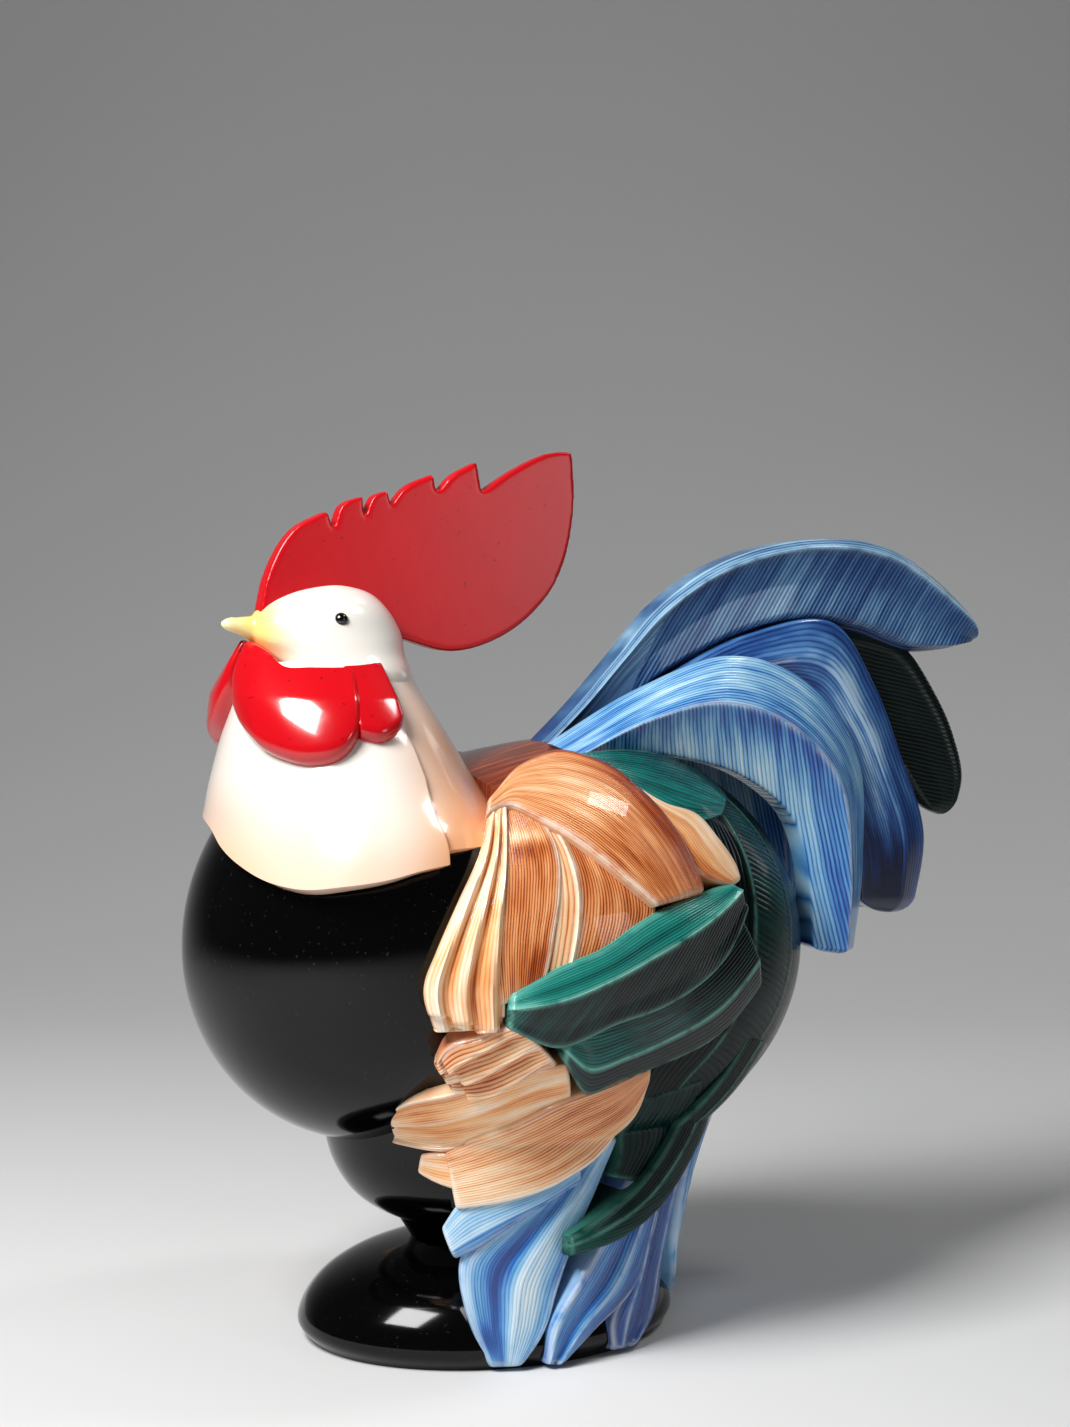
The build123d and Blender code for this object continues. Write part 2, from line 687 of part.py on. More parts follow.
# Rear of the skirt: one leaf that closes it between the two sides
skirt_back_right = [(128, 72), (130, 46), (126, 24), (110, 8)]
skirt_back_left = [(180 - angle, height) for angle, height in skirt_back_right]
around_skirt = [cutters[name] for name in ("skirt_rear", "tail_covert", "green_sickle")]
skirt_back = seat(
    leaf(plumage_guide, skirt_back_right, skirt_back_left, 0, plume_gap + plume_bite, 0),
    *around_skirt,
    *[mirror(piece, about=Plane.YZ) for piece in around_skirt],
    body_form.part,
    thigh_cup,
    base_plinth.part,
)
keep(skirt_back, "skirt_back")
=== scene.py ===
import math

import bpy
import numpy as np
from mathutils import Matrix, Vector


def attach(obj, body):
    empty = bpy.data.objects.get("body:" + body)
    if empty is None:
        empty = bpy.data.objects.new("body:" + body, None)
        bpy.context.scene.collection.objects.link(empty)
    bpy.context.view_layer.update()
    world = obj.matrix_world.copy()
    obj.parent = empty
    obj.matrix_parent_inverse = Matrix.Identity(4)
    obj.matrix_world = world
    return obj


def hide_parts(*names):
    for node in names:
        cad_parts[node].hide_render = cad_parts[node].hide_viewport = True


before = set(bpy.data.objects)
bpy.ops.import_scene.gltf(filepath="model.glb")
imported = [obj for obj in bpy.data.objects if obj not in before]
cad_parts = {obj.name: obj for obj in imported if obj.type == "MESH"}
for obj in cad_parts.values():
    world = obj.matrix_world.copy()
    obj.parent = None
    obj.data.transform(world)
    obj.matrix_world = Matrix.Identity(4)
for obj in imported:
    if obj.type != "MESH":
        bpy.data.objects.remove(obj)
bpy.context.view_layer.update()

mm = 0.001


# shader maths: a wire carries one socket, and an expression on wires adds Math nodes

class Wire:
    def __init__(self, glaze, socket):
        self.glaze = glaze
        self.socket = socket

    def maths(self, operation, first, second=0.0):
        return self.glaze.node("ShaderNodeMath", {"operation": operation}, {0: first, 1: second})[0]

    def __add__(self, other):
        return self.maths("ADD", self, other)

    def __sub__(self, other):
        return self.maths("SUBTRACT", self, other)

    def __rsub__(self, other):
        return self.maths("SUBTRACT", other, self)

    def __mul__(self, other):
        return self.maths("MULTIPLY", self, other)

    def __pow__(self, other):
        return self.maths("POWER", self, other)

    def sine(self):
        return self.maths("SINE", self)

    def size(self):
        return self.maths("ABSOLUTE", self)


class Glaze:
    def __init__(self, name, roughness=0.16, coat=0.5, shine=0.5):
        self.material = bpy.data.materials.new(name)
        self.material.use_nodes = True
        self.tree = self.material.node_tree
        self.shader = self.tree.nodes["Principled BSDF"]
        self.shader.inputs["Roughness"].default_value = roughness
        self.shader.inputs["IOR"].default_value = 1.5
        self.shader.inputs["Specular IOR Level"].default_value = shine
        self.shader.inputs["Coat Weight"].default_value = coat
        self.shader.inputs["Coat Roughness"].default_value = 0.04
        self.place = self.node("ShaderNodeTexCoord")["Object"]

    def node(self, kind, settings=None, sockets=None):
        made = self.tree.nodes.new(kind)
        for key, value in (settings or {}).items():
            if key == "stops":
                while len(made.color_ramp.elements) < len(value):
                    made.color_ramp.elements.new(0.5)
                for stop, (place, colour) in zip(made.color_ramp.elements, value):
                    stop.position = place
                    stop.color = colour
            else:
                setattr(made, key, value)
        for key, value in (sockets or {}).items():
            if isinstance(value, Wire):
                self.tree.links.new(value.socket, made.inputs[key])
            else:
                made.inputs[key].default_value = value
        wires = {k: Wire(self, out) for k, out in enumerate(made.outputs)}
        wires.update({out.name: Wire(self, out) for out in made.outputs if out.enabled})
        return wires

    def mix(self, factor, under, over):
        settings = {"data_type": "RGBA", "blend_type": "MIX", "clamp_factor": True}
        return self.node("ShaderNodeMix", settings, {0: factor, 6: under, 7: over})[2]

    def fade(self, value, start, end):
        sockets = {0: value, 1: start, 2: end, 3: 0.0, 4: 1.0}
        return self.node("ShaderNodeMapRange", {"interpolation_type": "SMOOTHSTEP"}, sockets)[0]

    def cloud(self, scale, detail=3.0, place=None):
        sockets = {"Vector": place or self.place, "Scale": scale, "Detail": detail}
        return self.node("ShaderNodeTexNoise", None, sockets)[0]

    def place3(self):
        return self.node("ShaderNodeSeparateXYZ", None, {0: self.place})

    def marks(self):
        mark = self.node("ShaderNodeAttribute", {"attribute_name": "glazeMarks"})
        parts = self.node("ShaderNodeSeparateColor", None, {0: mark["Color"]})
        return parts["Red"], parts["Green"], parts["Blue"], mark["Alpha"]

    def relief(self, height, strength, distance):
        bump = {"Height": height, "Strength": strength, "Distance": distance}
        self.paint("Normal", self.node("ShaderNodeBump", None, bump)["Normal"])

    def paint(self, socket, wire):
        self.tree.links.new(wire.socket, self.shader.inputs[socket])
        return self.material


def hue(code):
    parts = [int(code[k:k + 2], 16) / 255 for k in (0, 2, 4)]
    return tuple((p / 12.92 if p <= 0.04045 else ((p + 0.055) / 1.055) ** 2.4) for p in parts) + (1.0,)


def blackGlaze():
    g = Glaze("blackGlaze", 0.1, 0.0, 0.3)
    specks = g.fade(g.cloud(700, 1.0), 0.7, 0.76)
    g.relief(g.cloud(130, 2.0), 0.05, 0.0004)
    return g.paint("Base Color", g.mix(specks, hue("030303"), hue("1d1d20")))


def redGlaze():
    g = Glaze("redGlaze", 0.2, 0.5)
    spot = g.place3()
    # the rear and upper part of the comb is painted a darker crimson: painted shade
    combShade = g.fade(spot["Y"], -0.035, 0.03) * g.fade(spot["Z"], 0.225, 0.25)
    body = g.mix(g.cloud(45, 3.0), hue("cc0a17"), hue("ba0713"))
    pits = g.fade(g.cloud(500, 1.0), 0.72, 0.78)
    g.relief(g.cloud(200, 2.0), 0.07, 0.0004)
    broad = g.fade(g.fade(spot["Z"], 0.236, 0.244) + g.fade(spot["Y"], -0.045, -0.025), 0.0, 1.0)
    g.paint("Roughness", broad * 0.08 + 0.18)
    g.paint("Coat Weight", 0.5 - broad * 0.5)
    return g.paint("Base Color", g.mix(pits * 0.6, g.mix(combShade * 0.35, body, hue("8e0712")), hue("5c060c")))


def whiteGlaze():
    g = Glaze("whiteGlaze", 0.2, 0.4)
    spot = g.place3()
    cream = g.mix(g.cloud(30, 2.0), hue("ebe7e0"), hue("e6e2d9"))
    # the peach tint toward the hem, the brow and the rear of the cape is the glaze's own; on the rear of
    # the cape it is laid on stronger to darken the side turned from the light, so there it is partly
    # painted shade
    low = g.fade(spot["Z"], 0.196, 0.162)
    rear = g.fade(spot["Y"], -0.062, -0.03) * g.fade(spot["Z"], 0.236, 0.2)
    brow = g.fade(spot["Y"], -0.086, -0.104)
    peach = g.mix(low * 0.55 + rear * 0.8 + brow * 0.35, cream, hue("eeb083"))
    beak = g.fade(spot["Y"], -0.0715, -0.0835) * g.fade(spot["Z"], 0.224, 0.232)
    yellow = g.mix(g.fade(spot["Y"], -0.084, -0.094), hue("ead47c"), hue("efe4b0"))
    return g.paint("Base Color", g.mix(beak, peach, yellow))


def beadGlaze():
    g = Glaze("beadGlaze", 0.06, 1.0)
    return g.paint("Base Color", g.mix(g.cloud(400), hue("030303"), hue("080808")))


def plumeGlaze(name, colours, worn, line=0.5, streak=0.6, depth=0.35, fine=1.8, shine=0.4):
    # barb lines run where the phase mark passes whole numbers; streaks follow each barb
    g = Glaze(name, 0.16, shine, shine)
    phase, shade, rim, run = g.marks()
    lane = g.node("ShaderNodeCombineXYZ", None, {0: phase * 0.8, 1: run * 0.45, 2: shade})[0]
    tone = g.cloud(1.0, 3.0, lane)
    sway = (g.cloud(60, 2.0) - 0.5) * 0.5
    groove = (1.0 - ((phase + sway) * (math.pi * fine)).sine().size()) ** 1.4
    drift = (g.cloud(38, 3.0) - 0.5) * 0.45
    # the tone adds the glaze's own streaks and its pooling in the barb grooves to the shade mark; on a few
    # pieces the shade mark also carries painted shade and painted reflections
    poolAndShade = shade + (tone - 0.5) * (2 * streak) + groove * (tone + 0.25) * line + drift
    stops = {"stops": [(k / (len(colours) - 1), hue(c)) for k, c in enumerate(colours)]}
    body = g.node("ShaderNodeValToRGB", stops, {0: poolAndShade})["Color"]
    bare = rim * g.fade(g.cloud(140, 3.0), 0.22, 0.55)
    g.relief(1.0 - groove * (tone + 0.3) + g.cloud(300, 2.0) * 0.25, depth, 0.0007)
    return g.paint("Base Color", g.mix(bare, body, hue(worn)))


orange = ["fadcb8", "f0b682", "dd8a50", "b05020", "6c250c"]
peach = ["fde6cb", "f8c48e", "ee9f60", "c96a34", "883614"]
teal = ["5fb0a4", "1f8579", "11635d", "083735", "030f0f"]
pine = ["357568", "124a42", "082a27", "041615", "010606"]
sky = ["d9ebf4", "9ecbe6", "5c9dd2", "2359b0", "113178"]
wash = ["d3e6f0", "9cc6e4", "5f9fd2", "2f69b6", "173f86"]
slate = ["a9d0e4", "7399b8", "456c95", "25467a", "132a58"]
navy = ["a9c8e2", "5585ba", "2a5190", "162f66", "091738"]
night = ["28443f", "0c221e", "061412", "020707"]
glazes = {
    "black": blackGlaze(),
    "red": redGlaze(),
    "white": whiteGlaze(),
    "bead": beadGlaze(),
    "orange": plumeGlaze("orangeGlaze", orange, "fdeedd", 0.6, 0.42),
    "peach": plumeGlaze("peachGlaze", peach, "fdf1e4", 0.35, 0.45, 0.25),
    "teal": plumeGlaze("tealGlaze", teal, "7cc0b0", 0.35, 0.4, 0.35, 1.6, 0.25),
    "pine": plumeGlaze("pineGlaze", pine, "4f8577", 0.3, 0.3, 0.3, 1.4, 0.08),
    "sky": plumeGlaze("skyGlaze", sky, "ecf5fa", 0.5, 0.5, 0.35, 1.5),
    "wash": plumeGlaze("washGlaze", wash, "e6f1f7", 0.3, 0.34, 0.3, 1.5),
    "slate": plumeGlaze("slateGlaze", slate, "a9d3ea", 0.6, 0.4, 0.35, 1.3, 0.25),
    "navy": plumeGlaze("navyGlaze", navy, "9fbfe0", 0.35, 0.4, 0.2, 1.6, 0.45),
    "night": plumeGlaze("nightGlaze", night, "4f6c66", 0.2, 0.2, 0.3, 1.5, 0.2),
}
print("glazes mixed:", len(glazes))


# hand tools

def selectOnly(piece):
    bpy.ops.object.select_all(action="DESELECT")
    piece.select_set(True)
    bpy.context.view_layer.objects.active = piece


def applyModifier(piece, kind, **settings):
    selectOnly(piece)
    modifier = piece.modifiers.new(kind.lower(), kind)
    for key, value in settings.items():
        setattr(modifier, key, value)
    bpy.ops.object.modifier_apply(modifier=modifier.name)


def settle(piece, slot, glaze, *nodes):
    piece.data.materials.clear()
    piece.data.materials.append(glazes[glaze])
    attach(piece, "root")
    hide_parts(*nodes)


def otherSide(piece, name):
    selectOnly(piece)
    bpy.ops.object.duplicate()
    twin = bpy.context.object
    twin.name = name
    bpy.ops.object.mode_set(mode="EDIT")
    bpy.ops.mesh.select_all(action="SELECT")
    bpy.ops.transform.resize(value=(-1, 1, 1), center_override=(0, 0, 0))
    bpy.ops.mesh.flip_normals()
    bpy.ops.object.mode_set(mode="OBJECT")
    return twin


def claySheet(name, points, marks=None):
    # a grid primitive pressed onto a table of points, row by row
    rows, columns = points.shape[:2]
    bpy.ops.object.select_all(action="DESELECT")
    bpy.ops.mesh.primitive_grid_add(x_subdivisions=columns - 1, y_subdivisions=rows - 1, size=1)
    piece = bpy.context.object
    piece.name = name
    flat = np.empty(len(piece.data.vertices) * 3)
    piece.data.vertices.foreach_get("co", flat)
    flat = flat.reshape(-1, 3) + 0.5
    column = np.rint(flat[:, 0] * (columns - 1)).astype(int)
    row = np.rint(flat[:, 1] * (rows - 1)).astype(int)
    piece.data.vertices.foreach_set("co", (points[row, column] * mm).ravel())
    if marks is not None:
        layer = piece.data.attributes.new("glazeMarks", "FLOAT_COLOR", "POINT")
        layer.data.foreach_set("color", marks[row, column].ravel())
    piece.data.update()
    return piece


def closeUp(piece, smoothAngle=42):
    # weld the seam, cap the ends and turn the skin outwards
    selectOnly(piece)
    bpy.ops.object.mode_set(mode="EDIT")
    bpy.ops.mesh.select_mode(type="VERT")
    bpy.ops.mesh.select_all(action="SELECT")
    bpy.ops.mesh.remove_doubles(threshold=0.00002)
    bpy.ops.mesh.select_all(action="DESELECT")
    bpy.ops.mesh.select_non_manifold()
    bpy.ops.mesh.fill_holes(sides=0)
    bpy.ops.mesh.select_all(action="SELECT")
    bpy.ops.mesh.normals_make_consistent(inside=False)
    bpy.ops.object.mode_set(mode="OBJECT")
    bpy.ops.object.shade_smooth_by_angle(angle=math.radians(smoothAngle))


def ease(x):
    x = np.clip(x, 0, 1)
    return x * x * (3 - 2 * x)


def flow(knots, values, places):
    # a smooth curve through a few given values
    values = np.asarray(values, float)
    knots = np.asarray(knots, float)
    slopes = np.gradient(values, knots, axis=0)
    k = np.clip(np.searchsorted(knots, places, side="right") - 1, 0, len(knots) - 2)
    gap = knots[k + 1] - knots[k]
    x = (places - knots[k]) / gap
    shape = (-1,) + (1,) * (values.ndim - 1)
    x, gap = x.reshape(shape), gap.reshape(shape)
    start, end = values[k], values[k + 1]
    bend = (2 * x**3 - 3 * x**2 + 1) * start + (3 * x**2 - 2 * x**3) * end
    return bend + ((x**3 - 2 * x**2 + x) * slopes[k] + (x**3 - x**2) * slopes[k + 1]) * gap


def knotsOf(points):
    steps = np.linalg.norm(np.diff(points, axis=0), axis=1)
    walked = np.concatenate([[0.0], np.cumsum(steps)])
    return walked / walked[-1]


# the plumage guide is a dome over flanks and rump that stands on a skirt, in mm and degrees

dome = {"y": 5.0, "z": 130.0, "radius": 80.0, "halfLength": 110.0}
skirt = {"top": 75.0, "footHalfLength": 64.0, "footY": 2.0, "front": 60.0, "spread": 1.2}
plumeGap = 9.0
plumeBite = 3.0


def plumageGuide(angle, height, lift):
    share = np.sqrt(np.clip(1 - ((height - dome["z"]) / dome["radius"])**2, 0, 1))
    rim = math.sqrt(1 - ((skirt["top"] - dome["z"]) / dome["radius"])**2)
    rise = np.clip(height / skirt["top"], 0, 1)
    low = height < skirt["top"]
    halfWidth = np.where(low, dome["radius"] * rim, dome["radius"] * share)
    foot = skirt["footHalfLength"]
    tuck = foot + (dome["halfLength"] * rim - foot) * rise**2
    halfLength = np.where(low, tuck, dome["halfLength"] * share)
    centreY = np.where(low, skirt["footY"] + (dome["y"] - skirt["footY"]) * rise, dome["y"])
    front = skirt["front"] + skirt["spread"] * np.maximum(0, height - skirt["top"])
    halfLength = np.where(angle < 0, np.minimum(halfLength, front), halfLength)
    turn = np.radians(angle)
    x = (halfWidth + lift) * np.cos(turn)
    y = centreY + (halfLength + lift) * np.sin(turn)
    return np.stack([x, y, height + 0 * x], -1)


# the neck guide: height, half width, half length, centre y of a flared ruff
ruff = [(156, 70, 54.5, -48.5), (176, 63, 47.5, -47.5), (187, 54, 43, -50.5), (208, 41, 34.5, -54.5),
        (222, 30, 29.5, -57.5), (238, 20, 25, -58)]


def ruffGuide(angle, height, lift):
    # angle 0 is the side of the neck and 90 the throat
    table = np.array(ruff, float)
    height, lift = np.broadcast_arrays(height + 0 * angle, lift)
    level = np.clip(height.ravel(), ruff[0][0], ruff[-1][0])
    sizes = flow(table[:, 0], table[:, 1:], level).reshape(height.shape + (3,))
    turn = np.radians(angle)
    x = (sizes[..., 0] + lift) * np.cos(turn)
    y = sizes[..., 2] - (sizes[..., 1] + lift) * np.sin(turn)
    return np.stack([x, y, height], -1)


pad = {"swell": 4.0, "top": 232.0, "height": 14.0, "turn": 30.0}


def padGuide(angle, height, lift):
    below = np.clip((pad["top"] - height) / pad["height"], 0, 1)
    beside = np.clip((90 - angle) / pad["turn"], 0, 1)
    return ruffGuide(angle, height, lift + pad["swell"] * below * beside)


def surfaceNormals(points, outer):
    down = np.gradient(points, axis=0)
    over = np.gradient(points, axis=1)
    normal = np.cross(over, down)
    normal /= np.maximum(np.linalg.norm(normal, axis=-1, keepdims=True), 1e-9)
    return normal * np.where((normal * outer).sum(-1, keepdims=True) < 0, -1, 1)


def edgeSpread(count, width, soft):
    # even shares with a few more beside both edges, where the glaze rounds over
    near = np.array([0.0, 0.05, 0.16, 0.35, 0.65]) * soft / width
    inner = np.linspace(soft / width, 1 - soft / width, count)
    return np.concatenate([near, inner, 1 - near[::-1]])


# what a leaf does unless its own dictionary says otherwise; round and rims go edge A, edge B, root, tip
leafHabit = {
    "lift": 2.0, "rootLift": None, "crown": 0.0, "under": plumeGap + plumeBite, "seed": 1,
    "round": (1.4, 1.4, 1.4, 1.4), "rims": (0.5, 0.5, 0.4, 0.4),
    "zones": [(1.0, 12, 1, 0.3)], "lines": [], "patches": [], "barbs": None,
    "folds": 0, "foldDepth": 0.0, "foldTone": 0.0, "foldSlant": 0.7, "foldEnd": 0.01, "steps": 0.0,
    "ridge": 0, "ridgeRise": 0.0,
}
stepCut = 3.0


def carvedLeaf(name, plan, guide=plumageGuide):
    plan = {**leafHabit, **plan}
    edges = np.stack([np.array(plan["edgeA"], float), np.array(plan["edgeB"], float)])
    solid = guide(edges[..., 0], edges[..., 1], plan["lift"])
    middle = solid.mean(0)
    knots = knotsOf(middle)
    length = np.linalg.norm(np.diff(middle, axis=0), axis=1).sum()
    width = np.linalg.norm(solid[0] - solid[1], axis=1).mean()
    soft = max(plan["round"])
    s = edgeSpread(int(max(18, width / 0.9)), width, min(soft, width / 3))
    t = edgeSpread(int(max(20, length / 1.0)), length, min(soft, length / 3))
    a, b = flow(knots, edges[0], t), flow(knots, edges[1], t)
    across, along = np.meshgrid(s, t)
    both = a[:, None] * (1 - across[..., None]) + b[:, None] * across[..., None]
    lift = plan["lift"] + 0 * along
    if plan["rootLift"] is not None:
        lift = plan["rootLift"] + (plan["lift"] - plan["rootLift"]) * ease(along / 0.4)
    points = guide(both[..., 0], both[..., 1], lift)
    outer = guide(both[..., 0], both[..., 1], lift + 1) - points
    normal = surfaceNormals(points, outer)
    chord = np.linalg.norm(points[:, -1] - points[:, 0], axis=1)[:, None]
    gaps = (across * chord, (1 - across) * chord, along * length, (1 - along) * length)
    draw = np.random.default_rng(plan["seed"])
    height = plan["crown"] * (1 - (2 * across - 1)**2)
    shade = 0 * along
    phase = 0 * along
    rim = 0 * along
    start = 0.0
    for end, strands, runs, tone in plan["zones"]:
        # a zone is a share across with its own count of barbs, across and along, and its tone
        inside = across >= start
        barb = (across - start) / (end - start) * strands + along * runs + 40 * start
        phase = np.where(inside, barb, phase)
        shade = shade + (tone - shade) * ease((across - start) / 0.03 + 0.5) * inside
        start = end
    if plan["barbs"]:
        # straight barbs cut the same way over the last zone
        last = plan["zones"][-2][0] if len(plan["zones"]) > 1 else 0.0
        ky, kz = plan["barbs"]
        phase = np.where(across >= last, points[..., 1] * ky + points[..., 2] * kz, phase)
    if plan["folds"]:
        # long folds, each with a steep side, ending one after the other
        fold = across * plan["folds"] + 0.18 * np.sin(3 * along + plan["seed"])
        step = draw.random(12)[np.clip(np.floor(fold).astype(int) + 2, 0, 11)] * plan["steps"]
        slant = plan["foldSlant"]
        part = fold % 1.0
        form = np.minimum(part / slant, (1 - part) / (1 - slant))
        crease = plan["foldDepth"] * (1 - form) * ease(along / 0.2)
        height = height - crease * ease((1 - along) / plan["foldEnd"])
        height = height - stepCut * ease((along - 1 + step) / 0.02) * (step > 0.02)
        shade = shade + plan["foldTone"] * (1 - form)**2
        rim = np.maximum(rim, 0.5 * np.clip((form - 0.8) / 0.2, 0, 1) * (plan["foldTone"] > 0))
    if plan["ridge"]:
        away = np.abs(across - plan["ridge"]) / plan["ridge"]
        height = height + plan["ridgeRise"] * np.maximum(0, 1 - away)
    for place, reach, rise in plan["lines"]:
        # a raised quill line with the glaze worn off it
        quill = np.exp(-((across - place) * chord / reach)**2)
        height = height + rise * quill
        rim = np.maximum(rim, 0.9 * quill)
    for acrossPlace, acrossReach, alongPlace, alongReach, amount in plan["patches"]:
        patch = ((across - acrossPlace) / acrossReach)**2 + ((along - alongPlace) / alongReach)**2
        shade = shade + amount * np.exp(-patch)
    for gap, radius, weight in zip(gaps, plan["round"], plan["rims"]):
        inside = np.clip(gap / radius, 0, 1)
        height = height - radius * (1 - np.sqrt(1 - (1 - inside)**2))
        rim = np.maximum(rim, weight * np.exp(-((gap - 0.5 * radius) / 0.8)**2))
    skin = points + normal * height[..., None]
    run = along * length / 10 if not plan["barbs"] else across * chord / 10
    marks = np.stack([phase + plan["seed"], np.clip(shade, -0.2, 1.2), rim, run], -1)
    # the skin wraps round its edges to a coarse back below the seat
    back = [np.abs(s - share).argmin() for share in np.linspace(1, 0, 8)]
    bed = points - normal * (lift + plan["under"])[..., None]
    wrapped = np.concatenate([skin, bed[:, back], skin[:, :1]], 1)
    piece = claySheet(name, wrapped, np.concatenate([marks, marks[:, back], marks[:, :1]], 1))
    closeUp(piece)
    return piece


def carvedPair(name, node, slot, glaze, plan, guide=plumageGuide):
    left = carvedLeaf(name + "Left", plan, guide)
    settle(left, slot, glaze, node + "_left")
    settle(otherSide(left, name + "Right"), slot, glaze, node + "_right")
    print("carved", name, len(left.data.polygons), "faces a side")


def unlikePair(name, node, slot, glaze, plan, farPlan):
    # a pair whose far piece has an outline of its own
    near = carvedLeaf(name + "Left", plan)
    settle(near, slot, glaze, node + "_left")
    spare = carvedLeaf(name + "Spare", {**plan, **farPlan})
    settle(otherSide(spare, name + "Right"), slot, glaze, node + "_right")
    bpy.data.objects.remove(spare)
    print("carved", name, len(near.data.polygons), "faces on the near side")


# flank plumage, from the top layer down: edges are (angle, height) from root to tip

wingBand = {
    "edgeA": [(-21, 188), (-12, 198), (2, 202), (15, 198), (19, 189), (21, 176), (21.5, 156)],
    "edgeB": [(-21, 183), (-15.5, 185), (-10, 181), (-4, 175), (1, 168), (5, 161), (9.5, 153)],
    "lift": 6, "round": (3.0, 1.6, 1.6, 2.4), "rims": (0.1, 0.8, 0.3, 0.3), "crown": 0.6, "seed": 3,
    "zones": [(0.34, 8, 0, 0.38), (1.0, 17, 0, 0.34)],
    # the last patch darkens edge A near the root: painted shade along the top of the wing behind the neck
    "patches": [(0.1, 0.22, 0.72, 0.3, 0.5), (0.55, 0.3, 0.35, 0.2, -0.2), (0.75, 0.3, 0.8, 0.25, 0.15),
                (0.0, 0.1, 0.25, 0.3, 0.6)],
}
lowWing = {"edgeA": [(-21, 186), (-12, 192.5), (2, 195.5), (15, 193), (19, 187), (21, 176), (21.5, 156)]}
unlikePair("wingBand", "wing_band", "orange_glaze", "orange", wingBand, lowWing)

wingFlap = {
    "edgeA": [(19, 190), (24, 184), (31, 180), (32.5, 172), (33.5, 164), (33, 158)],
    "edgeB": [(15, 188), (17, 181), (18.5, 173), (19.5, 166), (22, 161), (29, 156)],
    "lift": 4.5, "round": (2.4, 1.5, 1.5, 2.2), "rims": (0.6, 0.3, 0.3, 0.5), "seed": 4,
    "zones": [(0.45, 4, 0, 0.12), (1.0, 5, 0, 0.38)],
    "patches": [(0.95, 0.25, 0.6, 0.6, 0.4)],
}
carvedPair("wingFlap", "wing_flap", "orange_glaze", "peach", wingFlap)

frontFold = {
    "edgeA": [(-20.5, 186), (-22, 172), (-25, 159), (-28.5, 142), (-30.5, 130), (-29, 115)],
    "edgeB": [(-16.5, 187), (-16.5, 169), (-17, 154), (-17, 142), (-17, 130), (-17, 116)],
    "lift": 5, "round": (2.2, 1.2, 1.5, 2.0), "seed": 5, "folds": 3, "foldDepth": 2.6, "foldTone": 0.45,
    "steps": 0.16, "zones": [(1.0, 10, 0.5, 0.05)], "patches": [(0.8, 0.3, 0.8, 0.2, 0.3)],
}
carvedPair("frontFold", "front_fold", "orange_glaze", "peach", frontFold)

upperSecondary = {
    "edgeA": [(-16.5, 128), (-8, 136), (-0.5, 141), (7, 148.5), (16, 154), (29, 158)],
    "edgeB": [(-17, 117), (-8.5, 109.5), (2.5, 116), (11, 120), (22, 130), (33, 149)],
    "lift": 4, "round": (1.8, 1.6, 2.2, 1.6), "rims": (0.3, 0.4, 0.7, 0.3), "seed": 6,
    "zones": [(0.38, 8, 0, 0.34), (1.0, 5, 0, 0.92)], "barbs": (0.42, -0.3),
    "ridge": 0.38, "ridgeRise": 2.6, "lines": [(0.38, 0.7, 0.2)],
    "patches": [(0.6, 0.5, 0.0, 0.09, -0.4), (0.2, 0.2, 0.9, 0.2, -0.1)],
}
carvedPair("upperSecondary", "upper_secondary", "green_glaze", "teal", upperSecondary)

frontCovert = {
    "edgeA": [(-20, 188), (-19, 170), (-19, 155), (-19, 140), (-18, 124)],
    "edgeB": [(-11, 188), (-6.5, 172), (-7, 159), (-8.5, 147), (-10.5, 130)],
    "lift": 3, "seed": 7, "rims": (0.2, 1.0, 0.2, 0.5), "zones": [(1.0, 13, 0.5, 0.4)],
    # the narrow dark band near the root draws the slash across the covert, and the pale band just above it
    # is a painted highlight along the slash
    "patches": [(0.5, 0.4, 0.3, 0.06, 0.3), (0.5, 0.4, 0.24, 0.04, -0.5), (0.7, 0.3, 0.9, 0.12, 0.35)],
}
carvedPair("frontCovert", "front_covert", "orange_glaze", "orange", frontCovert)

middleCovert = {
    "edgeA": [(-12, 186), (-9, 172), (-9, 161), (-10, 149), (-12, 130)],
    "edgeB": [(-2, 182), (6, 171), (10, 161), (11, 153), (9, 144)],
    "lift": 2, "seed": 8, "rims": (0.3, 0.2, 0.2, 0.4), "zones": [(0.27, 3, 0, 0.14), (1.0, 14, 2, 0.46)],
    "lines": [(0.27, 1.0, 0.9)],
}
carvedPair("middleCovert", "middle_covert", "orange_glaze", "orange", middleCovert)

lowerSecondary = {
    "edgeA": [(-6.5, 115), (-2.5, 118), (5, 121), (13, 126), (21, 135), (31, 147)],
    "edgeB": [(-8, 106.5), (-2.5, 93.5), (5, 96), (12, 99.5), (24, 106), (36, 122)],
    "lift": 2, "round": (1.4, 1.8, 2.4, 1.4), "rims": (0.3, 0.4, 0.6, 0.2), "seed": 9,
    "zones": [(0.62, 9, 0, 0.55), (1.0, 4, 0, 0.9)],
    "ridge": 0.62, "ridgeRise": 2.0, "lines": [(0.62, 0.6, 0.1)],
    "patches": [(0.3, 0.5, 0.9, 0.5, 0.45), (0.6, 0.5, 0.0, 0.1, -0.25)],
}
carvedPair("lowerSecondary", "lower_secondary", "green_glaze", "teal", lowerSecondary)

greenLeaf = {
    "edgeA": [(12, 200), (36, 200), (54, 197), (62, 190), (56, 183)],
    "edgeB": [(11, 195), (17, 187), (21, 180), (29, 177), (42, 178)],
    "lift": 2, "seed": 10, "rims": (0.2, 0.6, 0.2, 0.2), "zones": [(1.0, 12, 0.6, 0.42)],
    "patches": [(0.0, 0.3, 0.8, 0.5, 0.4)],
}
lowLeaf = {"edgeA": [(12, 193), (36, 193), (54, 191), (62, 187), (56, 182)]}
unlikePair("greenLeaf", "green_leaf", "green_glaze", "teal", greenLeaf, lowLeaf)

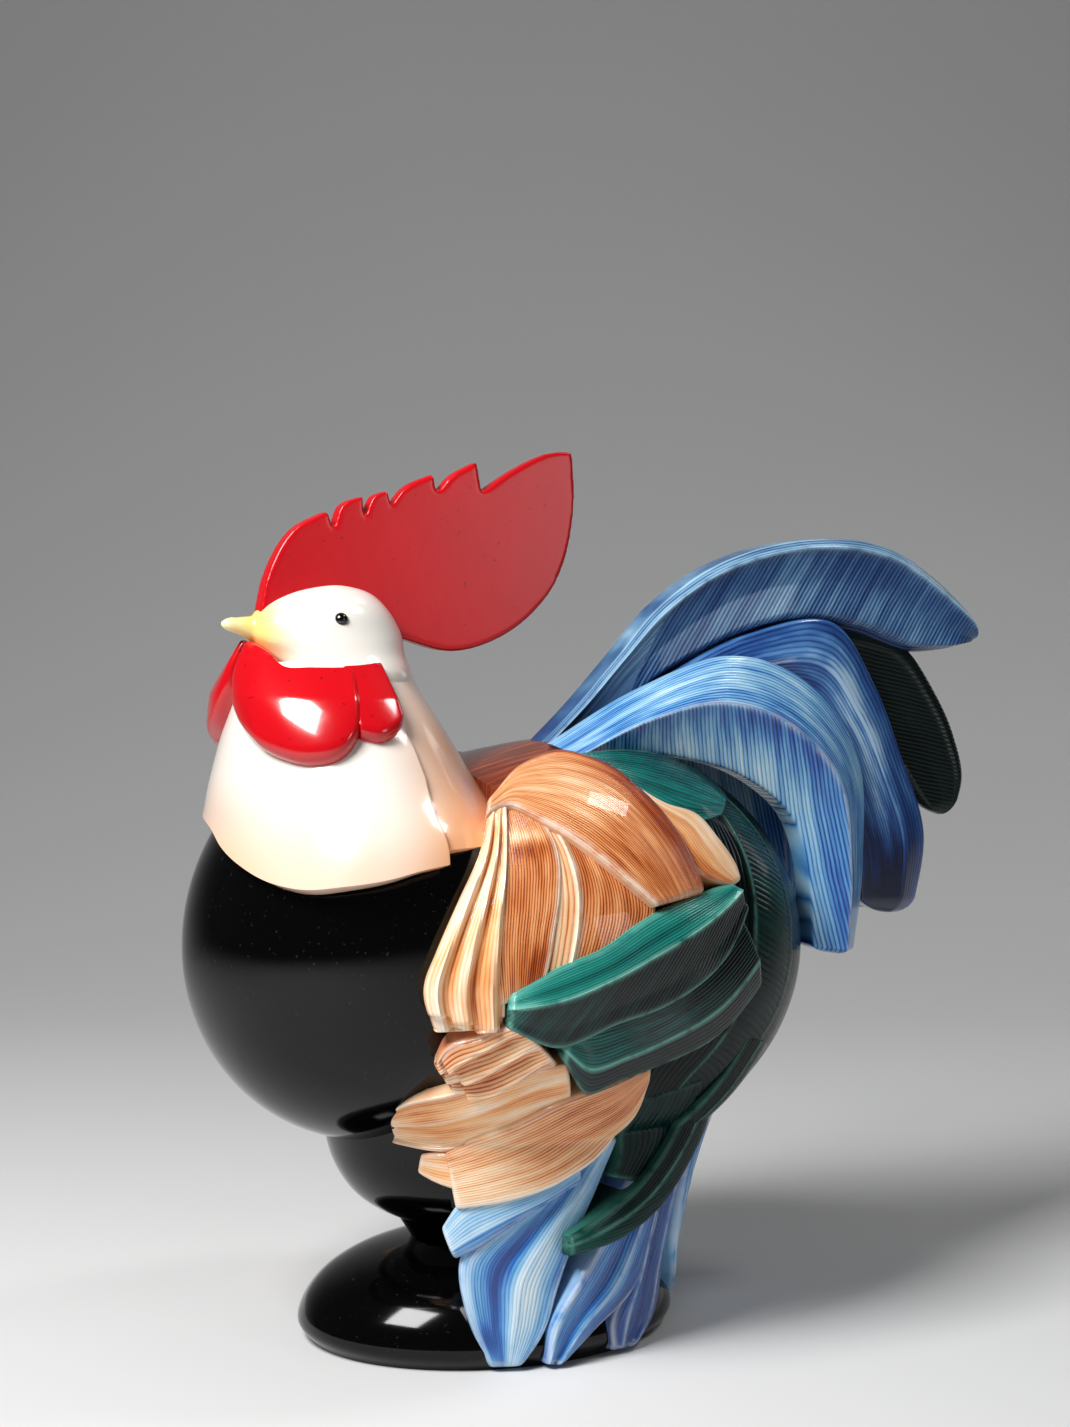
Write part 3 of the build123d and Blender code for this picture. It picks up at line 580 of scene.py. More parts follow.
greenSickle = {
    "edgeA": [(38, 104), (33, 86), (27, 69), (19, 58), (8, 50), (-1.5, 44)],
    "edgeB": [(53, 98), (48, 79), (41, 62), (31, 49.5), (15, 40.5), (-1, 37.5)],
    "lift": 3.5, "rootLift": 0.5, "round": (1.4, 1.8, 1.0, 2.0), "rims": (0.5, 0.2, 0.0, 0.6), "crown": 1.2,
    "zones": [(0.4, 4, 0, 0.75), (1.0, 4, 12, 0.6)], "lines": [(0.4, 0.6, 0.3)], "seed": 11,
    "patches": [(0.4, 0.6, 1.0, 0.2, -0.45)],
}
carvedPair("greenSickle", "green_sickle", "green_glaze", "pine", greenSickle)

tailCovert = {
    "edgeA": [(60, 196), (76, 188), (83, 172), (84, 152), (84, 132), (82, 112), (76, 95), (62, 80),
              (46, 68)],
    "edgeB": [(34, 184), (35, 178), (32, 170), (28, 158), (24, 144), (21, 126), (16, 108), (12, 94),
              (14, 78)],
    "lift": 0.4, "seed": 12, "rims": (0.1, 0.1, 0.1, 0.1),
    "zones": [(0.26, 8, 0, 0.8), (0.52, 7, 0, 0.9), (0.8, 3, 44, 0.5), (1.0, 5, 0, 0.85)],
    "lines": [(0.26, 0.4, 0.6), (0.52, 0.5, 0.7), (0.8, 0.5, 0.5)],
    "patches": [(0.66, 0.2, 0.95, 0.35, 0.35), (0.66, 0.1, 0.2, 0.2, -0.12)],
}
carvedPair("tailCovert", "tail_covert", "green_glaze", "pine", tailCovert)

thighSweep = {
    "edgeA": [(11, 100), (1, 94), (-8, 90), (-20, 82), (-32, 76), (-40, 72)],
    "edgeB": [(11.5, 95), (12, 79), (6.5, 69), (-5, 61.5), (-19, 57), (-36, 54)],
    "lift": 3, "round": (1.4, 1.8, 1.2, 2.2), "rims": (0.2, 1.0, 0.5, 0.7), "seed": 13,
    "zones": [(0.84, 12, 0, 0.24), (1.0, 2, 0, 0.1)],
    "patches": [(0.7, 0.4, 1.0, 0.35, -0.25), (0.4, 0.4, 0.25, 0.25, 0.2)],
}
carvedPair("thighSweep", "thigh_sweep", "orange_glaze", "orange", thighSweep)

thighTuft = {
    "edgeA": [(-15, 119), (-22, 114), (-28, 110), (-33, 102)],
    "edgeB": [(-8.5, 104), (-16, 97), (-24, 92), (-32, 92)],
    "lift": 3.5, "seed": 14, "folds": 3, "foldDepth": 2.4, "foldTone": 0.4, "steps": 0.2,
    "zones": [(1.0, 10, 0, 0.1)], "round": (1.6, 1.6, 1.4, 1.8),
}
carvedPair("thighTuft", "thigh_tuft", "orange_glaze", "orange", thighTuft)

thighPlane = {
    "edgeA": [(-6, 104), (-15, 101), (-24, 97), (-33, 93), (-43, 90), (-52, 85)],
    "edgeB": [(-4, 88), (-12, 84), (-20, 79), (-29, 75), (-40, 72), (-60, 73)],
    "lift": 1, "seed": 15, "round": (1.4, 1.2, 1.4, 2.0), "folds": 2, "foldDepth": 1.6, "foldTone": 0.25,
    "zones": [(1.0, 14, 0, 0.14)], "patches": [(0.3, 0.3, 0.78, 0.14, 0.25)],
}
carvedPair("thighPlane", "thigh_plane", "orange_glaze", "peach", thighPlane)

thighTip = {
    "edgeA": [(-28, 73), (-38, 72), (-44, 71.5), (-49, 70.5)],
    "edgeB": [(-31, 58.5), (-39.5, 60.4), (-44.5, 62), (-50, 64.4)],
    "lift": 0, "seed": 22, "round": (1.4, 1.4, 1.2, 1.8), "zones": [(1.0, 6, 0, 0.2)],
    "patches": [(0.6, 0.4, 0.3, 0.3, 0.2)],
}
carvedPair("thighTip", "thigh_tip", "orange_glaze", "peach", thighTip)

greenBlock = {
    "edgeA": [(12, 88), (12, 79), (13, 70), (12, 61)],
    "edgeB": [(28, 92), (31, 82), (34, 71), (25, 56)],
    "lift": 1, "seed": 16, "zones": [(1.0, 8, 0, 0.6)], "rims": (0.3, 0.2, 0.2, 0.6),
}
carvedPair("greenBlock", "green_block", "green_glaze", "pine", greenBlock)

# the flap on the far side is shorter and stops behind the leg
skirtFlap = {
    "edgeA": [(2, 70), (-10, 63), (-23, 60), (-34, 57), (-41, 47)],
    "edgeB": [(3, 60), (-8, 54), (-19, 47.5), (-28, 41), (-36.5, 37)],
    "lift": 0.5, "round": (1.4, 2.4, 1.4, 2.4), "rims": (0.2, 0.3, 0.2, 0.6), "crown": 0.8, "seed": 17,
    "zones": [(0.75, 7, 0, 0.24), (1.0, 2, 0, 0.6)], "patches": [(0.5, 0.5, 1.0, 0.2, -0.2)],
}
farFlap = {
    "edgeA": [(2, 70), (-3, 66), (-7, 63), (-11, 60)],
    "edgeB": [(3, 60), (-1, 56.5), (-4.5, 53), (-8, 50)],
}
unlikePair("skirtFlap", "skirt_flap", "blue_glaze", "wash", skirtFlap, farFlap)

skirtFront = {
    "edgeA": [(4, 72), (-10, 58), (-24, 48), (-35, 37), (-32, 18), (-24, 1.5)],
    "edgeB": [(14, 74), (10, 58), (4, 42), (-1.5, 26), (-6, 12), (-13.5, 1.5)],
    "lift": -1, "round": (2.0, 2.0, 1.4, 2.6), "seed": 18, "folds": 2, "foldDepth": 1.6, "foldTone": 0.45,
    "foldSlant": 0.35, "foldEnd": 0.25, "zones": [(0.4, 9, 0, 0.36), (1.0, 10, 0, 0.24)],
    "patches": [(0.75, 0.2, 0.75, 0.3, -0.3), (0.4, 0.12, 0.6, 0.18, 0.4), (0.2, 0.12, 0.9, 0.06, 0.4)],
}
farFront = {"edgeA": [(4, 72), (0, 58), (-2, 48), (-3, 37), (-12, 18), (-20, 1.5)], "folds": 0}
unlikePair("skirtFront", "skirt_front", "blue_glaze", "wash", skirtFront, farFront)

skirtMiddle = {
    "edgeA": [(20, 66), (12, 44), (3, 28), (-4.5, 14), (-6, 2)],
    "edgeB": [(34, 62), (34, 40), (27, 22), (12, 11), (0.5, 1)],
    "lift": 0.5, "round": (2.0, 2.0, 1.4, 2.2), "seed": 19, "folds": 2, "foldDepth": 1.5, "foldTone": 0.45,
    "foldSlant": 0.3, "zones": [(1.0, 13, 0, 0.56)],
    # the second patch darkens the root of the leaf nearly to navy: painted shade in the dark gap under the
    # green block and the sickle
    "patches": [(0.4, 0.3, 0.8, 0.3, -0.2), (0.5, 0.9, 0.0, 0.22, 0.7)],
}
carvedPair("skirtMiddle", "skirt_middle", "blue_glaze", "wash", skirtMiddle)

skirtRear = {
    "edgeA": [(32, 70), (30, 46), (25, 24), (18, 12), (19, 2)],
    "edgeB": [(52, 70), (48, 44), (45, 26), (42, 10), (30, 1)],
    "lift": -0.6, "round": (2.0, 2.0, 1.4, 2.2), "seed": 20, "folds": 2, "foldDepth": 1.4, "foldTone": 0.4,
    "foldSlant": 0.4, "zones": [(1.0, 11, 0, 0.82)],
}
carvedPair("skirtRear", "skirt_rear", "blue_glaze", "wash", skirtRear)

skirtBack = {
    "edgeA": [(128, 72), (130, 46), (126, 24), (110, 8)],
    "edgeB": [(52, 72), (50, 46), (54, 24), (70, 8)],
    "lift": 0, "round": (2.0, 2.0, 1.4, 2.2), "seed": 21, "folds": 5, "foldDepth": 1.8, "foldTone": 0.4,
    "zones": [(1.0, 30, 0, 0.42)],
}
settle(carvedLeaf("skirtBack", skirtBack), "blue_glaze", "wash", "skirt_back")
print("flank plumage done")


# tail blades: upright, with outer and inner edges as (y, z) from root to tip

def roundProfile(corners, count, soften):
    # corners of a closed section, walked evenly and rubbed soft
    ring = np.array(corners + corners[:1], float)
    spans = np.linalg.norm(np.diff(ring, axis=0) * [1.0, 0.05], axis=1)
    walked = np.concatenate([[0], np.cumsum(spans)])
    places = np.linspace(0, walked[-1], count, endpoint=False)
    even = np.stack([np.interp(places, walked, ring[:, k]) for k in (0, 1)], -1)
    for turn in range(soften):
        even = 0.5 * even + 0.25 * (np.roll(even, 1, 0) + np.roll(even, -1, 0))
    return even


bladeSteps = {"along": 170, "around": 130}


def sickleBlade(name, plan):
    outerEdge, innerEdge = np.array(plan["outer"], float), np.array(plan["inner"], float)
    middle = (outerEdge + innerEdge) / 2
    knots = knotsOf(middle)
    length = np.linalg.norm(np.diff(middle, axis=0), axis=1).sum()
    reach = np.linalg.norm(outerEdge - innerEdge, axis=1).mean() / 2
    t = np.sin(np.linspace(0, math.pi / 2, bladeSteps["along"]))
    ring = roundProfile(plan["profile"], bladeSteps["around"], plan["soften"])
    ring = np.concatenate([ring, ring[:1]])
    outer, inner = flow(knots, outerEdge, t), flow(knots, innerEdge, t)
    mid, half = (outer + inner) / 2, (inner - outer) / 2
    pinch = np.sqrt(np.clip(1 - (1 - np.clip((1 - t) * length / plan["tip"], 0, 1))**2, 0.0009, 1))
    share, along = np.meshgrid(ring[:, 0], t)
    x = np.meshgrid(ring[:, 1], t)[0]
    centreX = ring[:, 1].mean()
    x = centreX + (x - centreX) * pinch[:, None]
    yz = mid[:, None] + half[:, None] * share[..., None] * pinch[:, None, None]
    points = np.concatenate([x[..., None], yz], -1)
    phase = 0 * along
    shade = 0 * along
    run = 0 * along
    start = -1.1
    for end, strands, ky, kz, tone in plan["zones"]:
        # a zone is a share from the outer to the inner edge: lengthwise strands or straight barbs
        inside = share >= start
        phase = np.where(inside, share * strands + points[..., 1] * ky + points[..., 2] * kz, phase)
        run = np.where(inside, (along * length if strands else share * reach) / 10, run)
        shade = shade + (tone - shade) * ease((share - start) / 0.04 + 0.5) * inside
        start = end + plan["slide"] * (1 - ease(along / 0.36))
    for sharePlace, shareReach, alongPlace, alongReach, amount in plan["patches"]:
        patch = ((share - sharePlace) / shareReach)**2 + ((along - alongPlace) / alongReach)**2
        shade = shade + amount * np.exp(-patch)
    rim = 0 * along
    for place, width, weight in plan["lines"]:
        rim = np.maximum(rim, weight * np.exp(-((share - place) / width)**2))
    marks = np.stack([phase + plan["seed"], np.clip(shade, -0.2, 1.2), rim, run], -1)
    piece = claySheet(name, points, marks)
    closeUp(piece, 38)
    return piece


crestThickness = 17.0
dished = [(-1, -0.6), (-0.8, -1), (-0.66, -0.88), (0, -0.8), (0.72, -0.88), (1, -0.3),
          (1, 0.3), (0.72, 0.88), (0, 0.8), (-0.66, 0.88), (-0.8, 1), (-1, 0.6)]
crest = {
    "outer": [(17, 199), (33, 214), (49, 231), (64, 247), (90, 263), (125, 271), (159, 268), (187, 251),
              (202, 236)],
    "inner": [(32, 194), (46, 206), (60, 219), (78, 228), (99, 236), (120, 240), (145, 237), (170, 230),
              (196, 232)],
    "profile": [(share, x * crestThickness / 2) for share, x in dished],
    "soften": 1, "seed": 31, "tip": 10.0, "slide": 2.4,
    # the last zone, the underside along the inner edge, is painted near black: painted shade under the
    # blade
    "zones": [(-0.76, 14, 0, 0, 0.16), (0.84, 0, 0.44, -0.29, 0.46), (1.1, 10, 0, 0, 0.95)],
    "patches": [(-0.4, 0.5, 0.75, 0.15, 0.25), (-0.5, 0.4, 0.45, 0.12, 0.15), (0.3, 0.5, 0.5, 0.2, -0.08),
                (0.0, 3.0, 0.0, 0.16, 0.35)],
    "lines": [(-0.8, 0.05, 0.6)],
}
settle(sickleBlade("crestSickle", crest), "blue_glaze", "slate", "crest_sickle")

sideSickle = {
    "outer": [(16, 201), (50, 219), (86, 230), (117, 220), (138, 193), (140, 154), (136, 122)],
    "inner": [(26, 193), (46, 197), (64, 195), (85, 189), (105, 175), (113, 155), (115, 125)],
    "profile": [(-1, 14.6), (-1, 19.0), (-0.1, 31.0), (1, 26.0), (1, 14.6)],
    "soften": 2, "seed": 32, "tip": 3.0, "slide": 0.0,
    "zones": [(-0.12, 13, 0, 0, 0.38), (1.1, 0, 0.44, 0.1, 0.4)],
    "patches": [(0.0, 0.3, 0.4, 0.3, 0.2), (0.8, 0.4, 0.5, 0.5, -0.22), (-0.6, 0.5, 0.3, 0.2, -0.12),
                (0.3, 0.8, 0.95, 0.25, 0.12)],
    "lines": [(-0.1, 0.05, 0.4)],
}
left = sickleBlade("sideSickleLeft", sideSickle)
settle(left, "blue_glaze", "sky", "side_sickle_left")
# the far blade starts lower, out of sight behind the saddle
lowRoot = [(26, 194), (52, 215), *sideSickle["outer"][2:]]
spare = sickleBlade("sideSickleSpare", {**sideSickle, "outer": lowRoot})
settle(otherSide(spare, "sideSickleRight"), "blue_glaze", "sky", "side_sickle_right")
bpy.data.objects.remove(spare)

rearSickle = {
    "outer": [(40, 208), (66, 223), (98, 237), (134, 241), (151, 219), (163, 192), (173, 164), (168, 133)],
    "inner": [(52, 198), (74, 206), (96, 207), (115, 201), (127, 188), (136, 172), (141, 156), (143, 137)],
    "profile": [(-1, 4.3), (-1, 9.0), (-0.3, 14.0), (1, 14.0), (1, 4.3)],
    "soften": 3, "seed": 33, "tip": 6.0, "slide": 0.0,
    "zones": [(-0.2, 6, 0, 0, 0.42), (1.1, 10, 0, 0, 0.7)],
    # the first two patches are pale blotches on the blade: painted reflections
    "patches": [(-0.1, 0.4, 0.6, 0.16, -0.65), (0.2, 0.3, 0.76, 0.1, -0.5), (0.0, 0.8, 1.0, 0.18, 0.5)],
    "lines": [],
}
left = sickleBlade("rearSickleLeft", rearSickle)
settle(left, "blue_glaze", "navy", "rear_sickle_left")
settle(otherSide(left, "rearSickleRight"), "blue_glaze", "navy", "rear_sickle_right")

darkThickness = 8.0
darkSickle = {
    "outer": [(110, 234), (148, 237.5), (169, 231), (181, 216), (190, 199), (194, 182), (190, 169)],
    "inner": [(100, 214), (128, 212), (146, 205), (155, 196), (164, 186), (172, 177), (181, 169)],
    "profile": [(share, x * darkThickness / 2) for share, x in dished],
    "soften": 3, "seed": 34, "tip": 5.0, "slide": 0.0,
    "zones": [(1.1, 0, 0.1, 0.45, 0.62)], "patches": [], "lines": [],
}
settle(sickleBlade("darkSickle", darkSickle), "green_glaze", "night", "dark_sickle")
print("tail blades done")


# castings in black glaze

def ringStack(name, rows, around=96, along=48):
    # smooth shell through a few level ellipses: height, half width, half length, centre y
    table = np.array(rows, float)
    knots = knotsOf(table[:, [0, 1]])
    t = np.linspace(0, 1, along)
    level = flow(knots, table, t)
    turn = np.linspace(0, 2 * math.pi, around + 1)
    x = level[:, 1:2] * np.cos(turn)
    y = level[:, 3:4] + level[:, 2:3] * np.sin(turn)
    z = level[:, 0:1] + 0 * x
    piece = claySheet(name, np.stack([x, y, z], -1))
    closeUp(piece)
    return piece


def ball(name, centre, halfWidth, halfLength, lean):
    bpy.ops.object.select_all(action="DESELECT")
    bpy.ops.mesh.primitive_uv_sphere_add(segments=128, ring_count=80, radius=halfWidth * mm)
    piece = bpy.context.object
    piece.name = name
    piece.scale.z = halfLength / halfWidth
    piece.rotation_euler.x = math.radians(-lean)
    piece.location = Vector(centre) * mm
    bpy.ops.object.transform_apply(location=True, rotation=True, scale=True)
    return piece


def join(piece, other, operation="UNION"):
    applyModifier(piece, "BOOLEAN", operation=operation, object=other, solver="EXACT")
    bpy.data.objects.remove(other)
    selectOnly(piece)
    bpy.ops.object.shade_smooth_by_angle(angle=math.radians(35))


base = {
    "halfWidth": 54.5, "halfLength": 66.0, "height": 33.0,
    "profile": [(0.0, 0.94), (0.16, 1.0), (0.36, 0.975), (0.58, 0.89), (0.76, 0.755), (0.91, 0.55),
                (1.0, 0.28)],
}
basePlinth = ringStack("basePlinth", [
    (share * base["height"], width * base["halfWidth"], width * base["halfLength"], 0.0)
    for share, width in base["profile"]
])
settle(basePlinth, "black_glaze", "black", "base_plinth")

leg = {"y": -7.5, "rows": [(20, 16), (32, 19), (40, 24)]}
legShank = ringStack("legShank", [(z, r, r, leg["y"]) for z, r in leg["rows"]], 64, 16)
settle(legShank, "black_glaze", "black", "leg_shank")

thigh = {"rows": [(40, 24), (44, 32), (49, 38.8), (58, 45), (70, 48.5), (85, 48.5), (98, 44)]}
thighCup = ringStack("thighCup", [(z, r, r, leg["y"]) for z, r in thigh["rows"]])
settle(thighCup, "black_glaze", "black", "thigh_cup")

breast = {"centre": (0, -36, 140), "radius": 67.0, "halfLength": 73.0, "lean": 35.0}
bodyShell = ball("bodyShell", breast["centre"], breast["radius"], breast["halfLength"], breast["lean"])
rump = ball("rump", (0, dome["y"], dome["z"]), dome["radius"] - plumeGap, dome["halfLength"] - plumeGap, 90)
join(bodyShell, rump)
# the back is trimmed level so that the saddle lies on it
trim = {"z": 172.5, "y": -40.0, "size": 300.0}
bpy.ops.mesh.primitive_cube_add(size=trim["size"] * mm)
trimBox = bpy.context.object
trimBox.location = Vector((0, trim["y"] + trim["size"] / 2, trim["z"] + trim["size"] / 2)) * mm
join(bodyShell, trimBox, "DIFFERENCE")
settle(bodyShell, "black_glaze", "black", "body_shell")
print("black castings done")


# head, comb and neck

headRows = [(218, 28.5, 25.4, -54.2), (226, 27.2, 23.6, -53.2), (232, 23.4, 24.5, -55.7),
            (238, 20.5, 26, -58), (247, 16, 22, -59), (252.5, 9, 13.5, -57), (255, 2.5, 4, -55.5)]
# the beak's rings: y, height, radius
beakRings = [(-70, 237, 11), (-75, 237.7, 8.5), (-79, 238.8, 6.4), (-83.4, 240.4, 4.3), (-88, 241.4, 2.9),
             (-92.6, 242, 1.8), (-94, 242, 0.8)]
head = ringStack("head", headRows)
rings = np.array(beakRings, float)
t = np.linspace(0, 1, 30)
spine = flow(knotsOf(rings[:, :2]), rings, t)
turn = np.linspace(0, 2 * math.pi, 41)
beakPoints = np.stack([
    spine[:, 2:3] * np.cos(turn),
    spine[:, 0:1] + 0 * turn,
    spine[:, 1:2] + spine[:, 2:3] * np.sin(turn),
], -1)
beak = claySheet("beak", beakPoints)
closeUp(beak)
join(head, beak)
applyModifier(head, "REMESH", mode="VOXEL", voxel_size=0.7 * mm)
applyModifier(head, "SMOOTH", factor=0.5, iterations=8)
selectOnly(head)
bpy.ops.object.shade_smooth()
settle(head, "white_glaze", "white", "head")

eyeBead = {"radius": 2.4, "centre": (17.2, -58.8, 243.4)}
eyes = ball("eyeBeads", eyeBead["centre"], eyeBead["radius"], eyeBead["radius"], 0)
otherSide(eyes, "eyeBeadRight")
eyes.select_set(True)
bpy.context.view_layer.objects.active = eyes
bpy.ops.object.join()
bpy.ops.object.shade_smooth()
settle(eyes, "bead_glaze", "bead", "eye_beads")

comb = {
    "front": [(-82, 244), (-78, 260), (-69, 273.5), (-58, 279)],
    "notches": [(-55.8, 273), (-44.8, 276.3), (-35.5, 280.7), (-18.8, 285.3), (-2.3, 286.2)],
    "teeth": [[(-52.2, 281.5), (-45.5, 284)], [(-40.8, 284.6), (-36.5, 286)],
              [(-30.4, 287.1), (-20, 291.8)], [(-13.7, 291.1), (-4, 296.3)],
              [(6.7, 292.1), (15.3, 296.7), (24.2, 300), (31.6, 300.4)]],
    "back": [(32.4, 291.6), (32, 279.5), (25.4, 256), (6.5, 238.1), (-13.1, 232.3), (-33, 237)],
    "root": 8.5, "taper": 0.042, "rootHeight": 226.0,
}


def softLine(points, count):
    points = np.array(points, float)
    return flow(knotsOf(points), points, np.linspace(0, 1, count))


outline = [softLine(comb["front"], 14)]
for notch, tooth in zip(comb["notches"], comb["teeth"]):
    outline.append(softLine([notch, *tooth], 9))
outline.append(softLine([comb["teeth"][-1][-1], *comb["back"]], 30)[1:])
outline = np.concatenate(outline)
bpy.ops.object.select_all(action="DESELECT")
bpy.ops.mesh.primitive_circle_add(vertices=len(outline), radius=1, fill_type="NGON")
combPiece = bpy.context.object
combPiece.name = "combPiece"
for vertex, (y, z) in zip(combPiece.data.vertices, outline):
    vertex.co = Vector((-comb["root"] / 2, y, z)) * mm
bpy.ops.object.mode_set(mode="EDIT")
bpy.ops.mesh.select_all(action="SELECT")
bpy.ops.mesh.extrude_region_move(TRANSFORM_OT_translate={"value": (comb["root"] * mm, 0, 0)})
bpy.ops.mesh.select_all(action="SELECT")
bpy.ops.mesh.normals_make_consistent(inside=False)
bpy.ops.object.mode_set(mode="OBJECT")
for vertex in combPiece.data.vertices:
    rise = vertex.co.z / mm - comb["rootHeight"]
    vertex.co.x *= (comb["root"] - comb["taper"] * rise) / comb["root"]
applyModifier(combPiece, "REMESH", mode="VOXEL", voxel_size=0.6 * mm)
applyModifier(combPiece, "SMOOTH", factor=0.5, iterations=9)
selectOnly(combPiece)
bpy.ops.object.shade_smooth()
settle(combPiece, "red_glaze", "red", "comb")

# wattles and ear lobes: edges on the neck guide from the throat back, tops tucked under the head
wattle = {
    "edgeA": [(87, 237), (74, 236), (58, 233.5), (44, 229), (27, 228.7), (10, 228.6), (-1, 229)],
    "edgeB": [(85, 219), (75, 210), (63, 204.5), (50.5, 200.8), (36, 199.4), (21.5, 202.6), (8.5, 211.5)],
    "lift": 3, "crown": 2.0, "round": (0.4, 4.5, 3.0, 4.5), "seed": 41, "under": 4.0,
}
carvedPair("wattle", "wattle", "red_glaze", "red", wattle, padGuide)
earlobe = {
    "edgeA": [(8, 229), (-4, 229.3), (-13, 229.8), (-20, 229.8)],
    "edgeB": [(12, 208.3), (3, 207.2), (-5.5, 209), (-15, 213)],
    "lift": 3, "crown": 1.0, "round": (0.4, 3.5, 0.6, 3.5), "seed": 42, "under": 4.0,
}
carvedPair("earlobe", "earlobe", "red_glaze", "red", earlobe, padGuide)

# the pleat is where the front lappets end over the rear cape: angle at each height
pleat = [(168, -5.6), (181, -7), (194, -12.4), (207, -13.8), (228, -24.9)]
# towards its top the sheet closes in on the neck and then tucks under the head
hug = {"from": 200, "over": 26, "tuckFrom": 226, "tuckOver": 4, "tuck": 0.5}
hemSteps = {"around": 220, "up": 80, "height": 60.0, "soft": 2.0, "bevel": 1.1}


def neckSheet(name, turns, hems, plan):
    # a sheet hung round the neck, given as shares round it and the height of its hem at each
    u = np.linspace(0, 1, hemSteps["around"])
    hem = flow([share for share, _ in hems], [height for _, height in hems], u)
    share, climb = np.meshgrid(u, edgeSpread(hemSteps["up"], hemSteps["height"], hemSteps["soft"]))
    height = hem[None] + (plan["top"] - hem[None]) * climb
    first, last = turns(height)
    fading = plan["lift"] * (1 - ease((height - hug["from"]) / hug["over"]))
    fading = fading - hug["tuck"] * ease((height - hug["tuckFrom"]) / hug["tuckOver"])
    piece = claySheet(name, ruffGuide(first + (last - first) * share, height, fading))
    selectOnly(piece)
    bpy.ops.object.mode_set(mode="EDIT")
    bpy.ops.mesh.select_all(action="SELECT")
    bpy.ops.mesh.normals_make_consistent(inside=False)
    bpy.ops.object.mode_set(mode="OBJECT")
    applyModifier(piece, "SOLIDIFY", thickness=plan["wall"] * mm, offset=-1)
    applyModifier(piece, "BEVEL", width=hemSteps["bevel"] * mm, segments=3, limit_method="ANGLE",
                  angle_limit=math.radians(50))
    selectOnly(piece)
    bpy.ops.object.shade_smooth_by_angle(angle=math.radians(40))
    return piece


def pleatAngle(height):
    table = np.array(pleat, float)
    return np.interp(height, table[:, 0], table[:, 1])


lappets = {
    "near": [(-5.6, 168), (3.5, 166.8), (16, 164), (29, 162), (42, 160.6), (54, 162), (68, 166), (82, 171),
             (90, 174.5)],
    "far": [(110, 177.5), (129, 178), (147, 175.5), (162, 171), (175, 168), (185.6, 167)],
    "lift": 2.0, "top": 230.0, "wall": 6.0,
}


def lappetTurns(height):
    return pleatAngle(height), 180 - pleatAngle(height)


nearEnd, farEnd = lappets["near"][0][0], lappets["far"][-1][0]
lappetHems = [((angle - nearEnd) / (farEnd - nearEnd), height)
              for angle, height in lappets["near"] + lappets["far"]]
lappetPiece = neckSheet("hackleLappets", lappetTurns, lappetHems, lappets)
settle(lappetPiece, "white_glaze", "white", "hackle_lappet_left", "hackle_lappet_right")

cape = {"hem": 172.2, "lift": 0.0, "top": 231.0, "wall": 6.0, "underlap": 9.0}


def capeTurns(height):
    return -180 - pleatAngle(height) - cape["underlap"], pleatAngle(height) + cape["underlap"]


capePiece = neckSheet("neckCape", capeTurns, [(share, cape["hem"]) for share in (0, 0.5, 1)], cape)
settle(capePiece, "white_glaze", "white", "neck_cape")
print("head and neck done")


# back between the wings

# rows are y, height of the crown, height at the sides
saddle = {
    "rows": [(-14, 193, 186), (4, 197.5, 193), (24, 201.5, 192), (46, 198, 186)],
    "halfWidth": 46.0, "drop": 8.0, "along": 60, "across": 100, "strands": 20, "saddleShade": (1.0, 0.7),
}
saddleTable = np.array(saddle["rows"], float)
level = flow(knotsOf(saddleTable[:, :2]), saddleTable, np.linspace(0, 1, saddle["along"]))
side = np.linspace(-1, 1, saddle["across"])
saddleX = saddle["halfWidth"] * side[None] + 0 * level[:, :1]
saddleZ = level[:, 2:3] + (level[:, 1:2] - level[:, 2:3]) * (1 - side[None]**2)
saddleTop = np.stack([saddleX, level[:, :1] + 0 * saddleX, saddleZ], -1)
# the saddle is painted in the darkest orange tones, darkest next to the cape: painted shade on the orange
# glaze of the back between the wings
saddleShade = np.linspace(*saddle["saddleShade"], saddle["along"])[:, None] + 0 * saddleX
strand = side[None] * saddle["strands"] + 0 * saddleX
saddleMarks = np.stack([strand, saddleShade, 0 * saddleX, level[:, :1] / 10 + 0 * saddleX], -1)
under = saddleTop[:, ::-9] - [0, 0, saddle["drop"]]
wrapped = np.concatenate([saddleTop, under, saddleTop[:, :1]], 1)
wrappedMarks = np.concatenate([saddleMarks, saddleMarks[:, ::-9], saddleMarks[:, :1]], 1)
backSaddle = claySheet("backSaddle", wrapped, wrappedMarks)
closeUp(backSaddle)
settle(backSaddle, "orange_glaze", "orange", "back_saddle")


# stage, lights and camera

